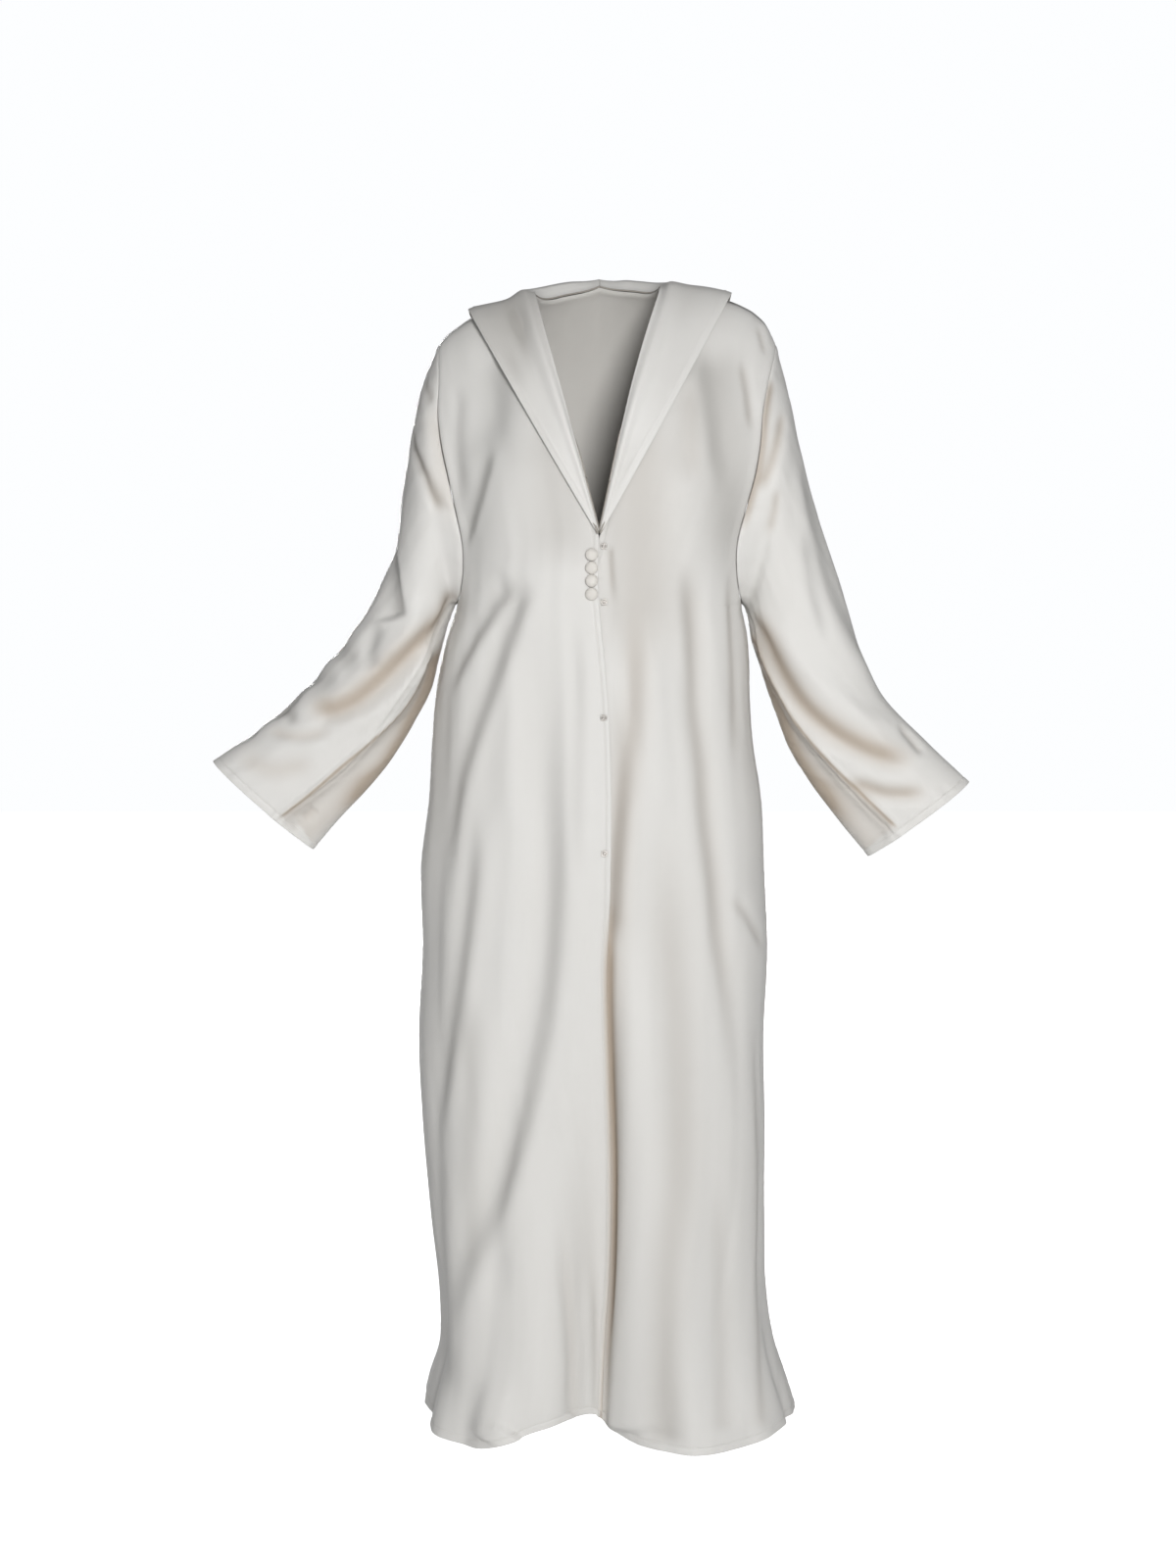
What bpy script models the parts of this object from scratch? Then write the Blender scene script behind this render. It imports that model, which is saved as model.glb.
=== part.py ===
"""Abaya cloak: an open-fronted, full-length satin overgarment in its worn, hollow form.

Metres, +Z up. The wearer faces -Y, the origin is between the tops of the shoulders, where the
garment is held. "Right" and "left" are the wearer's, so the right side lies at -X.

The body is one surface of level sections, cut into two fronts and a back. The sleeves grow out of
the armholes of that surface, and the collar lies on it along the neckline. Angles round the body
start at the centre front and grow towards the wearer's left.
"""
import math
from collections import namedtuple

import bmesh
import bpy
import numpy as np
from mathutils import Matrix, Vector

RIGHT = -1
LEFT = 1

CLOTH = 0.0016             # thickness of every cloth wall
GAP = 0.0003               # clear space kept at seams
FLAT_SHARE = 0.5           # each piece's share of the gap at a flat seam
ARMHOLE_SHARE = 0.85       # and where the sleeve turns away from the body
CORNER_SHARE = 1.6         # and where three pieces meet
LAP = 0.014                # how far the left front runs under the right front
LAP_RECESS = 0.0030        # depth of the lapped margin behind the right front
LAP_RAMP = (0.003, 0.030)  # distance from the closing edge over which the margin comes forward
LAP_CLEAR = 0.003          # the hidden margin reaches this far past the closing edge

UNDERARM_Z = -0.370
V_POINT_Z = -0.289
LAP_TOP_Z = -0.345         # top of the left front's hidden edge
FRONT_ROLL = 0.25          # drop over which the chest rounds up to the shoulder
BACK_ROLL = 0.13           # the same over the shoulder blades

NECK_COLUMNS = 5
SHOULDER_COLUMNS = 6
COLUMNS = NECK_COLUMNS + SHOULDER_COLUMNS
TOP_ROWS = 10
SKIRT_ROWS = 20
SLEEVE_ROWS = 12

COLLAR_STEPS = 2           # collar stations to each neckline column
COLLAR_TIP = 0.12          # part of the first neckline column left bare at the V
COLLAR_LIFT = 0.0022       # height of the collar over the panels
COLLAR_SEAT = 0.0006       # height of its sewn edge
COLLAR_FALL = 0.088        # level of the collar's lowest edge at the back, below the origin
SPREAD = (0.0, 0.13, 0.3, 0.62, 1.0)    # collar columns from the neckline to its outer edge
STAND_AT = 0.16            # place of the roll across the collar

BUTTON_RADIUS = 0.0072
BUTTON_HEIGHT = 0.0062
BUTTON_X = -0.0097
BUTTON_LEVELS = (-0.3095, -0.3243, -0.3391, -0.3541)
BUTTON_TILTS = (9, -5, 6, -4)
STUD_RADIUS = 0.0040
STUD_HEIGHT = 0.0018

Section = namedtuple("Section", "level right left front back middle square")
SECTIONS = (
    Section(0.060, 0.235, 0.245, 0.092, 0.092, 0.000, 2.4),
    Section(-0.050, 0.235, 0.245, 0.106, 0.098, 0.000, 2.4),
    Section(-0.120, 0.230, 0.238, 0.115, 0.107, 0.000, 2.4),
    Section(-0.200, 0.214, 0.220, 0.121, 0.112, 0.000, 2.4),
    Section(-0.280, 0.187, 0.188, 0.125, 0.113, 0.000, 2.4),
    Section(-0.340, 0.169, 0.169, 0.127, 0.112, 0.000, 2.4),
    Section(-0.370, 0.1665, 0.1655, 0.127, 0.111, 0.000, 2.4),
    Section(-0.405, 0.1770, 0.1720, 0.127, 0.112, 0.001, 2.4),
    Section(-0.440, 0.1858, 0.1750, 0.127, 0.113, 0.002, 2.4),
    Section(-0.469, 0.1912, 0.1755, 0.127, 0.115, 0.002, 2.4),
    Section(-0.530, 0.1970, 0.1795, 0.128, 0.119, 0.004, 2.4),
    Section(-0.600, 0.201, 0.190, 0.129, 0.124, 0.006, 2.4),
    Section(-0.680, 0.211, 0.194, 0.131, 0.131, 0.009, 2.5),
    Section(-0.780, 0.210, 0.199, 0.133, 0.137, 0.012, 2.5),
    Section(-0.880, 0.215, 0.195, 0.134, 0.142, 0.015, 2.6),
    Section(-0.987, 0.211, 0.197, 0.135, 0.147, 0.018, 2.7),
    Section(-1.094, 0.202, 0.197, 0.137, 0.153, 0.021, 2.8),
    Section(-1.202, 0.192, 0.201, 0.139, 0.162, 0.026, 2.9),
    Section(-1.262, 0.193, 0.211, 0.141, 0.169, 0.030, 3.0),
    Section(-1.311, 0.206, 0.227, 0.143, 0.177, 0.035, 3.0),
    Section(-1.360, 0.218, 0.242, 0.145, 0.184, 0.038, 3.0),
)

# the shoulder line seen from the front, from the neck to the sleeve head
Ridge = namedtuple("Ridge", "out right left")
RIDGE = (
    Ridge(0.000, 0.030, 0.032),
    Ridge(0.040, 0.013, 0.016),
    Ridge(0.070, -0.008, -0.004),
    Ridge(0.100, -0.019, -0.005),
    Ridge(0.130, -0.030, -0.011),
    Ridge(0.150, -0.038, -0.018),
    Ridge(0.165, -0.048, -0.024),
    Ridge(0.183, -0.063, -0.035),
    Ridge(0.195, -0.082, -0.048),
    Ridge(0.207, -0.110, -0.076),
    Ridge(0.220, -0.150, -0.130),
)

# the V neckline, from the shoulder seam down to the closing edge, as distance from the middle
Neckline = namedtuple("Neckline", "level right left")
NECKLINE = (
    Neckline(-0.006, 0.0760, 0.0690),
    Neckline(-0.050, 0.0640, 0.0545),
    Neckline(-0.110, 0.0475, 0.0375),
    Neckline(-0.170, 0.0315, 0.0235),
    Neckline(-0.230, 0.0155, 0.0110),
    Neckline(-0.289, 0.0015, -0.0010),
    Neckline(-0.345, -0.0120, -0.0155),
)

# the front edge of the right panel, as x
Closing = namedtuple("Closing", "level x")
CLOSING = (
    Closing(-0.28, -0.0015),
    Closing(-0.37, -0.0010),
    Closing(-0.42, 0.0040),
    Closing(-0.48, 0.0090),
    Closing(-0.54, 0.0118),
    Closing(-0.70, 0.0115),
    Closing(-0.80, 0.0080),
    Closing(-0.90, 0.0105),
    Closing(-1.05, 0.0145),
    Closing(-1.16, 0.0130),
    Closing(-1.26, 0.0070),
    Closing(-1.36, 0.0030),
)

# distance of the armhole seams from the middle, from the shoulder point down to the underarm
Armhole = namedtuple("Armhole", "level right left back_right back_left")
ARMHOLE = (
    Armhole(-0.060, 0.1880, 0.2060, 0.1880, 0.2060),
    Armhole(-0.080, 0.1875, 0.2030, 0.1885, 0.2035),
    Armhole(-0.112, 0.1865, 0.1945, 0.1870, 0.1960),
    Armhole(-0.150, 0.1870, 0.1872, 0.1855, 0.1890),
    Armhole(-0.186, 0.1825, 0.1840, 0.1830, 0.1855),
    Armhole(-0.221, 0.1750, 0.1780, 0.1790, 0.1810),
    Armhole(-0.260, 0.1665, 0.1675, 0.1735, 0.1745),
    Armhole(-0.300, 0.1590, 0.1580, 0.1680, 0.1680),
    Armhole(-0.335, 0.1590, 0.1585, 0.1650, 0.1645),
    Armhole(-0.360, 0.1630, 0.1625, 0.1650, 0.1645),
)

# lowest edge round the body, by angle
Hem = namedtuple("Hem", "angle level")
HEM = (
    Hem(-180, -1.350),
    Hem(-130, -1.346),
    Hem(-95, -1.332),
    Hem(-62, -1.346),
    Hem(-40, -1.348),
    Hem(-28, -1.337),
    Hem(-14, -1.319),
    Hem(-3, -1.318),
    Hem(7, -1.340),
    Hem(18, -1.348),
    Hem(45, -1.348),
    Hem(68, -1.339),
    Hem(95, -1.346),
    Hem(140, -1.353),
    Hem(180, -1.350),
)

# the largest folds: angles at the top and the hem, levels where each starts and is full
Fold = namedtuple("Fold", "start full top hem narrow wide depth")
FOLDS = (
    Fold(-0.74, -1.32, 1, 0, 0.034, 0.050, -0.058),
    Fold(-0.80, -1.28, -24, -27, 0.034, 0.040, 0.012),
    Fold(-0.72, -1.25, 24, 26, 0.034, 0.042, 0.011),
    Fold(-0.55, -1.10, -12, -50, 0.020, 0.026, -0.007),
    Fold(-1.10, -1.34, -78, -80, 0.018, 0.020, -0.010),
    Fold(-1.12, -1.34, 76, 79, 0.018, 0.020, -0.010),
    Fold(-0.50, -1.20, 126, 120, 0.030, 0.036, -0.016),
    Fold(-0.40, -1.15, 146, 142, 0.028, 0.036, 0.017),
    Fold(-0.45, -1.25, 161, 160, 0.024, 0.032, -0.019),
    Fold(-0.36, -1.20, 176, 179, 0.030, 0.040, 0.015),
    Fold(-0.48, -1.15, 194, 199, 0.024, 0.034, -0.020),
    Fold(-0.42, -1.20, 212, 218, 0.026, 0.036, 0.018),
    Fold(-0.55, -1.25, 233, 240, 0.030, 0.036, -0.015),
)

# sleeve sections: the points furthest up and down the arm's side, the middle's y, how far the
# front and the back stand from it, and the height of the seam from the bottom (-1) to the top (1)
Ring = namedtuple("Ring", "top_x top_z low_x low_z middle front back seam")
SLEEVE_RIGHT = (
    Ring(-0.2080, -0.122, -0.1710, -0.377, 0.002, 0.075, 0.070, -0.97),
    Ring(-0.2210, -0.182, -0.1785, -0.397, 0.001, 0.068, 0.066, -0.92),
    Ring(-0.2310, -0.245, -0.1868, -0.430, 0.000, 0.060, 0.061, -0.80),
    Ring(-0.2430, -0.308, -0.1965, -0.472, -0.002, 0.053, 0.055, -0.60),
    Ring(-0.2700, -0.375, -0.2190, -0.515, -0.004, 0.048, 0.050, -0.48),
    Ring(-0.3060, -0.422, -0.2460, -0.557, -0.006, 0.045, 0.047, -0.48),
    Ring(-0.3490, -0.472, -0.2740, -0.590, -0.008, 0.042, 0.044, -0.50),
    Ring(-0.4000, -0.517, -0.3050, -0.622, -0.010, 0.039, 0.041, -0.42),
    Ring(-0.4540, -0.555, -0.3370, -0.659, -0.012, 0.035, 0.037, -0.30),
)
SLEEVE_LEFT = (
    Ring(0.2200, -0.128, 0.1705, -0.377, 0.002, 0.075, 0.070, -0.98),
    Ring(0.2325, -0.185, 0.1750, -0.396, 0.001, 0.069, 0.067, -0.95),
    Ring(0.2480, -0.240, 0.1785, -0.424, 0.000, 0.062, 0.063, -0.93),
    Ring(0.2650, -0.295, 0.1880, -0.460, -0.002, 0.056, 0.057, -0.90),
    Ring(0.2845, -0.352, 0.2045, -0.501, -0.004, 0.051, 0.052, -0.83),
    Ring(0.3050, -0.414, 0.2220, -0.542, -0.006, 0.047, 0.048, -0.70),
    Ring(0.3320, -0.478, 0.2460, -0.580, -0.008, 0.044, 0.045, -0.58),
    Ring(0.3840, -0.532, 0.2800, -0.624, -0.010, 0.040, 0.042, -0.53),
    Ring(0.4340, -0.579, 0.3160, -0.667, -0.012, 0.036, 0.038, -0.46),
)
SEAM_SWELL = 0.10          # how far the sleeve stands out at its seam, as a share of its depth
SEAM_SPAN = 0.16
HEAD_FULLNESS = 0.12       # the sleeve is this much fuller in its upper half

# where the collar's outer edge crosses the shoulder line, as distance from the middle
COLLAR_CORNER = {RIGHT: 0.149, LEFT: 0.150}
Roll = namedtuple("Roll", "place stand outer")
COLLAR_ROLL = (
    Roll(0.0, 0.0002, 0.0004),
    Roll(0.2, 0.0030, 0.0010),
    Roll(0.4, 0.0050, 0.0040),
    Roll(0.5, 0.0070, 0.0065),
    Roll(0.6, 0.0100, 0.0050),
    Roll(0.8, 0.0150, 0.0030),
    Roll(1.0, 0.0170, 0.0025),
)

Stud = namedtuple("Stud", "x level side tilt clear")
STUDS = (
    Stud(0.0040, -0.3000, LEFT, 12, 0.0),
    Stud(0.0046, -0.3633, LEFT, -8, 0.0003),
    Stud(0.0040, -0.4948, RIGHT, 14, 0.0),
    Stud(0.0050, -0.6500, RIGHT, -6, 0.0),
)

CLOTH_COLOUR = (0.70, 0.66, 0.59)
COLLAR_COLOUR = (0.72, 0.68, 0.61)
BUTTON_COLOUR = (0.68, 0.63, 0.56)
STUD_COLOUR = (0.75, 0.75, 0.74)


def follow(table, column, at):
    """A smooth curve through one column of a table whose first column is the place."""
    places = np.array([row[0] for row in table], float)
    values = np.array([getattr(row, column) for row in table], float)
    order = np.argsort(places)
    places = places[order]
    values = values[order]
    slopes = np.gradient(values, places)
    at = np.clip(np.asarray(at, float), places[0], places[-1])
    low = np.clip(np.searchsorted(places, at) - 1, 0, len(places) - 2)
    step = places[low + 1] - places[low]
    part = (at - places[low]) / step
    square = part * part
    cube = square * part
    return (
        (2 * cube - 3 * square + 1) * values[low]
        + (cube - 2 * square + part) * step * slopes[low]
        + (3 * square - 2 * cube) * values[low + 1]
        + (cube - square) * step * slopes[low + 1]
    )


def ease(low, high, value):
    part = np.clip((value - low) / (high - low), 0.0, 1.0)
    return part * part * (3 - 2 * part)


def spaced(points, count):
    """Places along a fine polyline, from 0 to 1, that cut it into equal lengths."""
    steps = np.linalg.norm(np.diff(points, axis=0), axis=1)
    travelled = np.concatenate(([0.0], np.cumsum(steps)))
    wanted = np.linspace(0.0, travelled[-1], count + 1)
    return np.interp(wanted, travelled, np.linspace(0.0, 1.0, len(points)))


def half_width(side, level):
    return follow(SECTIONS, "left" if side == LEFT else "right", level)


def ridge(x):
    out = np.abs(x)
    return np.where(x > 0, follow(RIDGE, "left", out), follow(RIDGE, "right", out))


def widths(x, level):
    return np.where(x > 0, half_width(LEFT, level), half_width(RIGHT, level))


def fold_offset(angle, level):
    """How far the folds push the cloth out (or in) at an angle and level of the body."""
    total = np.zeros(np.shape(angle))
    for fold in FOLDS:
        way = np.clip((fold.start - level) / (fold.start + 1.36), 0.0, 1.0)
        centre = np.radians(fold.top + (fold.hem - fold.top) * way)
        turn = np.angle(np.exp(1j * (angle - centre)))
        spread = fold.narrow + (fold.wide - fold.narrow) * way
        growth = ease(fold.start, fold.full, level)
        total = total + fold.depth * growth * np.exp(-(turn * 0.2 / spread) ** 2)
    return total


def body_point(angle, level, drop=None):
    """A point of the body at an angle; with drop, its height is measured from the shoulder line."""
    angle = np.asarray(angle, float)
    level = np.asarray(level, float)
    sine = np.sin(angle)
    wide = np.where(sine > 0, half_width(LEFT, level), half_width(RIGHT, level))
    x = wide * sine
    square = follow(SECTIONS, "square", level)
    bow = (1 - np.minimum(np.abs(sine), 1.0) ** square) ** (1 / square)
    middle = follow(SECTIONS, "middle", level)
    is_front = np.cos(angle) > 0
    reach = np.where(
        is_front, -follow(SECTIONS, "front", level) - middle, follow(SECTIONS, "back", level) - middle
    )
    if drop is None:
        z = level
        round_over = 1.0
    else:
        z = ridge(x) - drop
        rolled = np.clip(drop / np.where(is_front, FRONT_ROLL, BACK_ROLL), 0.0, 1.0)
        round_over = np.sqrt(1 - (1 - rolled) ** 2)
    y = middle + reach * bow * round_over
    out = fold_offset(angle, level)
    return np.stack(
        np.broadcast_arrays(x + out * sine, y - out * np.cos(angle), z + 0.0 * x), axis=-1
    )


def angle_of(x, level, back=False):
    share = np.clip(x / widths(x, level), -1.0, 1.0)
    front_angle = np.arcsin(share)
    return np.where(back, math.pi - front_angle, front_angle)


def coons(bottom, top, left, right):
    """Fill a patch from its four edges; every edge is an array of values."""
    s = np.linspace(0, 1, len(bottom))[None, :]
    t = np.linspace(0, 1, len(left))[:, None]
    across = (1 - s) * left[:, None] + s * right[:, None]
    up = (1 - t) * bottom[None, :] + t * top[None, :]
    corners = (
        (1 - s) * (1 - t) * bottom[0] + s * (1 - t) * bottom[-1]
        + (1 - s) * t * top[0] + s * t * top[-1]
    )
    return across + up - corners


def even_angles(level, first, last, count):
    fine = np.linspace(first, last, 160)
    places = spaced(body_point(fine, np.full(160, level)), count)
    return first + (last - first) * places


def neck_curve(side, low, high, count):
    """Angles and levels of the front neckline between two levels, evenly spaced."""
    levels = np.linspace(low, high, 120)
    x = side * follow(NECKLINE, "left" if side == LEFT else "right", levels)
    angles = angle_of(x, levels)
    places = spaced(body_point(angles, levels, ridge(x) - levels), count)
    picked = low + (high - low) * places
    x = side * follow(NECKLINE, "left" if side == LEFT else "right", picked)
    return x, picked


def back_neck_curve(side, count):
    """The back neckline from the shoulder seam in to the centre back, as x and drop."""
    start = follow(NECKLINE, "left" if side == LEFT else "right", NECKLINE[0].level)
    x = side * np.linspace(start, 0.0, count + 1)
    centre_drop = follow(RIDGE, "left", 0.0)
    drop = centre_drop * (1 - (np.abs(x) / start) ** 2) ** 0.8
    return x, drop


def armhole_curve(side, back):
    """Evenly spaced x and level of an armhole seam from the underarm up to the shoulder point."""
    name = ("back_" if back else "") + ("left" if side == LEFT else "right")
    shoulder = follow(ARMHOLE, name, ARMHOLE[0].level)
    top = float(ridge(np.array(side * shoulder)))
    levels = np.linspace(ARMHOLE[-1].level, top, 120)
    x = side * follow(ARMHOLE, name, levels)
    x[-1] = side * shoulder
    under = np.linspace(UNDERARM_Z, ARMHOLE[-1].level, 12)[:-1]
    levels = np.concatenate((under, levels))
    edge = half_width(side, UNDERARM_Z)
    near = follow(ARMHOLE, name, ARMHOLE[-1].level)
    part = np.linspace(0, 1, 12)[:-1]
    x = np.concatenate((side * (edge + (near - edge) * part), x))
    drops = np.maximum(ridge(x) - levels, 0.0)
    drops[-1] = 0.0
    angles = angle_of(x, levels, back)
    angles[0] = side * math.pi / 2 if not back else math.pi - side * math.pi / 2
    places = spaced(body_point(angles, levels, drops), TOP_ROWS)
    fine = np.linspace(0, 1, len(levels))
    return (
        np.interp(places, fine, angles),
        np.interp(places, fine, levels),
        np.interp(places, fine, drops),
    )


def row_angles(level, leading, seam_angle):
    """Angles of a level row: the leading ones as given, the rest evenly spaced to the seam."""
    even = even_angles(level, leading[-1], seam_angle, COLUMNS + 1 - len(leading))
    return np.concatenate((leading[:-1], even))


def half_body(side, back, inner_angles, inner_levels, top_x, top_levels, top_drops, leading):
    """Half a front or back, from its inner edge to the side seam and armhole.

    Rows run from the shoulder down to the hem, columns from the inner edge to the side.
    """
    seam_angle = side * math.pi / 2 if not back else math.pi - side * math.pi / 2
    arm_angles, arm_levels, arm_drops = armhole_curve(side, back)
    level_angles = row_angles(UNDERARM_Z, leading(UNDERARM_Z), seam_angle)
    level_x = body_point(level_angles, np.full(COLUMNS + 1, UNDERARM_Z))[:, 0]
    bottom_drops = ridge(level_x) - UNDERARM_Z
    inner_x = widths(np.sin(inner_angles), inner_levels) * np.sin(inner_angles)
    angles = coons(level_angles, angle_of(top_x, top_levels, back), inner_angles, arm_angles)
    levels = coons(np.full(COLUMNS + 1, UNDERARM_Z), top_levels, inner_levels, arm_levels)
    drops = coons(bottom_drops, top_drops, ridge(inner_x) - inner_levels, arm_drops)
    upper = body_point(angles, levels, np.maximum(drops, 0.0))[::-1]

    rows = []
    hem_degrees = lambda a: (np.degrees(a) + 180) % 360 - 180
    for row in range(1, SKIRT_ROWS + 1):
        share = row / SKIRT_ROWS
        rough = UNDERARM_Z + (-1.345 - UNDERARM_Z) * share
        across = row_angles(rough, leading(rough), seam_angle)
        bottom = follow(HEM, "level", hem_degrees(across))
        rows.append(body_point(across, UNDERARM_Z + (bottom - UNDERARM_Z) * share))
    return np.concatenate((upper, np.array(rows)))


def shoulder_x(side):
    start = follow(NECKLINE, "left" if side == LEFT else "right", NECKLINE[0].level)
    end = follow(ARMHOLE, "left" if side == LEFT else "right", ARMHOLE[0].level)
    return side * np.linspace(start, end, SHOULDER_COLUMNS + 1)


def lap_recess(x, level):
    """How far the left front stands behind the body's surface near the closing edge."""
    beyond = x - follow(CLOSING, "x", level)
    return LAP_RECESS * (1 - ease(LAP_RAMP[0], LAP_RAMP[1], beyond))


def front_half(side, lap):
    """A front panel. The lapped one starts under the other panel, behind its closing edge."""
    offsets = (-LAP, LAP_CLEAR) if lap else (0.0,)
    inner_top = LAP_TOP_Z if lap else V_POINT_Z

    def leading(level):
        closing = follow(CLOSING, "x", level)
        return [float(angle_of(closing + offset, level)) for offset in offsets]

    inner_levels = np.linspace(UNDERARM_Z, inner_top, TOP_ROWS + 1)
    inner_angles = np.array([leading(level)[0] for level in inner_levels])
    neck_top = NECKLINE[0].level
    neck_x, neck_levels = neck_curve(side, V_POINT_Z, neck_top, NECK_COLUMNS - len(offsets) + 1)
    if lap:
        neck_levels = np.concatenate(((LAP_TOP_Z,), neck_levels))
        neck_x = np.concatenate(((side * follow(NECKLINE, "left", LAP_TOP_Z),), neck_x))
    across = shoulder_x(side)
    top_x = np.concatenate((neck_x, across[1:]))
    top_levels = np.concatenate((neck_levels, ridge(across[1:])))
    top_drops = np.maximum(ridge(top_x) - top_levels, 0.0)
    top_drops[NECK_COLUMNS:] = 0.0
    top_levels[NECK_COLUMNS] = ridge(across[0])
    inner_angles[-1] = angle_of(top_x[0], top_levels[0])
    panel = half_body(
        side, False, inner_angles, inner_levels, top_x, top_levels, top_drops, leading
    )
    if lap:
        panel[..., 1] += lap_recess(panel[..., 0], panel[..., 2])
    return panel


def back_half(side):
    def leading(level):
        return [math.pi]

    neck_x, neck_drops = back_neck_curve(side, NECK_COLUMNS)
    neck_x = neck_x[::-1]
    neck_drops = neck_drops[::-1]
    across = shoulder_x(side)
    top_x = np.concatenate((neck_x, across[1:]))
    top_drops = np.concatenate((neck_drops, np.zeros(SHOULDER_COLUMNS)))
    top_levels = ridge(top_x) - top_drops
    inner_levels = np.linspace(UNDERARM_Z, top_levels[0], TOP_ROWS + 1)
    inner_angles = np.full(TOP_ROWS + 1, math.pi)
    return half_body(
        side, True, inner_angles, inner_levels, top_x, top_levels, top_drops, leading
    )


def sleeve_section(ring):
    """A sleeve section as a fine loop from the seam, over the front to the top, and back below."""
    top = np.array((ring.top_x, ring.middle, ring.top_z))
    low = np.array((ring.low_x, ring.middle, ring.low_z))
    centre = (top + low) / 2
    half = (top - low) / 2
    start = math.acos(ring.seam)
    turn = np.concatenate((np.linspace(start, 0, 90), np.linspace(0, start - 2 * math.pi, 180)[1:]))
    height = np.cos(turn)
    depth = np.abs(np.sin(turn)) * (1 + HEAD_FULLNESS * height)
    on_front = np.sin(turn) > 0
    swell = 1 + SEAM_SWELL * np.exp(-((height - ring.seam) / SEAM_SPAN) ** 2) * (np.abs(ring.seam) < 0.9)
    y = np.where(on_front, -ring.front * depth * swell, ring.back * depth)
    loop = centre + height[:, None] * half + y[:, None] * np.array((0, 1, 0))
    return loop[:90], loop[89:]


def resample(points, count):
    places = spaced(points, count)
    fine = np.linspace(0, 1, len(points))
    return np.stack([np.interp(places, fine, points[:, axis]) for axis in range(3)], axis=1)


def sleeve_rows(rings, front_edge, back_edge):
    """Sleeve surface: rows from the armhole to the cuff, columns round from the underarm seam."""
    stations = [np.concatenate((front_edge, back_edge[::-1][1:-1]))]
    for ring in rings:
        front, back = sleeve_section(ring)
        loop = np.concatenate((resample(front, TOP_ROWS), resample(back, TOP_ROWS)[1:-1]))
        stations.append(loop)
    stations = np.array(stations)
    last = len(stations) - 1
    slopes = np.gradient(stations, axis=0)
    rows = []
    for row in range(SLEEVE_ROWS + 1):
        place = last * row / SLEEVE_ROWS
        low = min(int(place), last - 1)
        part = place - low
        square = part * part
        cube = square * part
        rows.append(
            (2 * cube - 3 * square + 1) * stations[low]
            + (cube - 2 * square + part) * slopes[low]
            + (3 * square - 2 * cube) * stations[low + 1]
            + (cube - square) * slopes[low + 1]
        )
    return np.array(rows)


def grid_normals(grid, closed, outward):
    if closed:
        across = np.roll(grid, -1, axis=1) - np.roll(grid, 1, axis=1)
    else:
        across = np.gradient(grid, axis=1)
    down = np.gradient(grid, axis=0)
    normals = np.cross(across, down)
    normals /= np.linalg.norm(normals, axis=2, keepdims=True)
    middle = normals.shape[0] // 2, normals.shape[1] // 3
    if np.dot(normals[middle], outward(grid[middle])) < 0:
        normals = -normals
    return normals


class Piece:
    """A cut piece: its outer surface as a grid of points, and which way it faces."""

    def __init__(self, name, grid, family, closed, outward):
        self.name = name
        self.grid = grid
        self.family = family
        self.closed = closed
        self.normals = grid_normals(grid, closed, outward)

    def edge_cells(self):
        rows, columns = self.grid.shape[:2]
        for row in range(rows):
            for column in range(columns):
                on_end = row in (0, rows - 1)
                on_side = not self.closed and column in (0, columns - 1)
                if on_end or on_side:
                    yield row, column

    def inward(self, cell):
        """The direction from an edge point into its piece."""
        rows, columns = self.grid.shape[:2]
        edge = set(self.edge_cells())
        inner = []
        every = []
        for step in ((1, 0), (-1, 0), (0, 1), (0, -1)):
            row = cell[0] + step[0]
            column = cell[1] + step[1]
            if self.closed:
                column %= columns
            if not (0 <= row < rows and 0 <= column < columns):
                continue
            way = self.grid[row, column] - self.grid[cell]
            way = way / np.linalg.norm(way)
            every.append(way)
            if (row, column) not in edge:
                inner.append(way)
        way = np.mean(inner or every, axis=0)
        return way / np.linalg.norm(way)


def part_at_seams(pieces):
    """Let pieces that share a seam point share its facing too, and stand GAP apart there."""
    meeting = {}
    for piece in pieces:
        for cell in piece.edge_cells():
            key = tuple(np.round(piece.grid[cell] * 20000).astype(int))
            meeting.setdefault(key, []).append((piece, cell))
    moves = []
    for shared in meeting.values():
        if len(shared) < 2:
            continue
        families = {}
        for piece, cell in shared:
            families.setdefault(piece.family, []).append(piece.normals[cell])
        facing = sum(np.mean(group, axis=0) for group in families.values())
        facing = facing / np.linalg.norm(facing)
        ways = [piece.inward(cell) for piece, cell in shared]
        for index, (piece, cell) in enumerate(shared):
            others = [way for place, way in enumerate(ways) if place != index]
            apart = ways[index] - np.mean(others, axis=0)
            apart = apart - facing * np.dot(apart, facing)
            apart = apart / np.linalg.norm(apart)
            if len(shared) > 2:
                share = CORNER_SHARE
            else:
                share = FLAT_SHARE if len(families) == 1 else ARMHOLE_SHARE
            moves.append((piece, cell, facing, apart * GAP * share))
    for piece, cell, facing, move in moves:
        piece.normals[cell] = facing
        piece.grid[cell] = piece.grid[cell] + move


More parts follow.
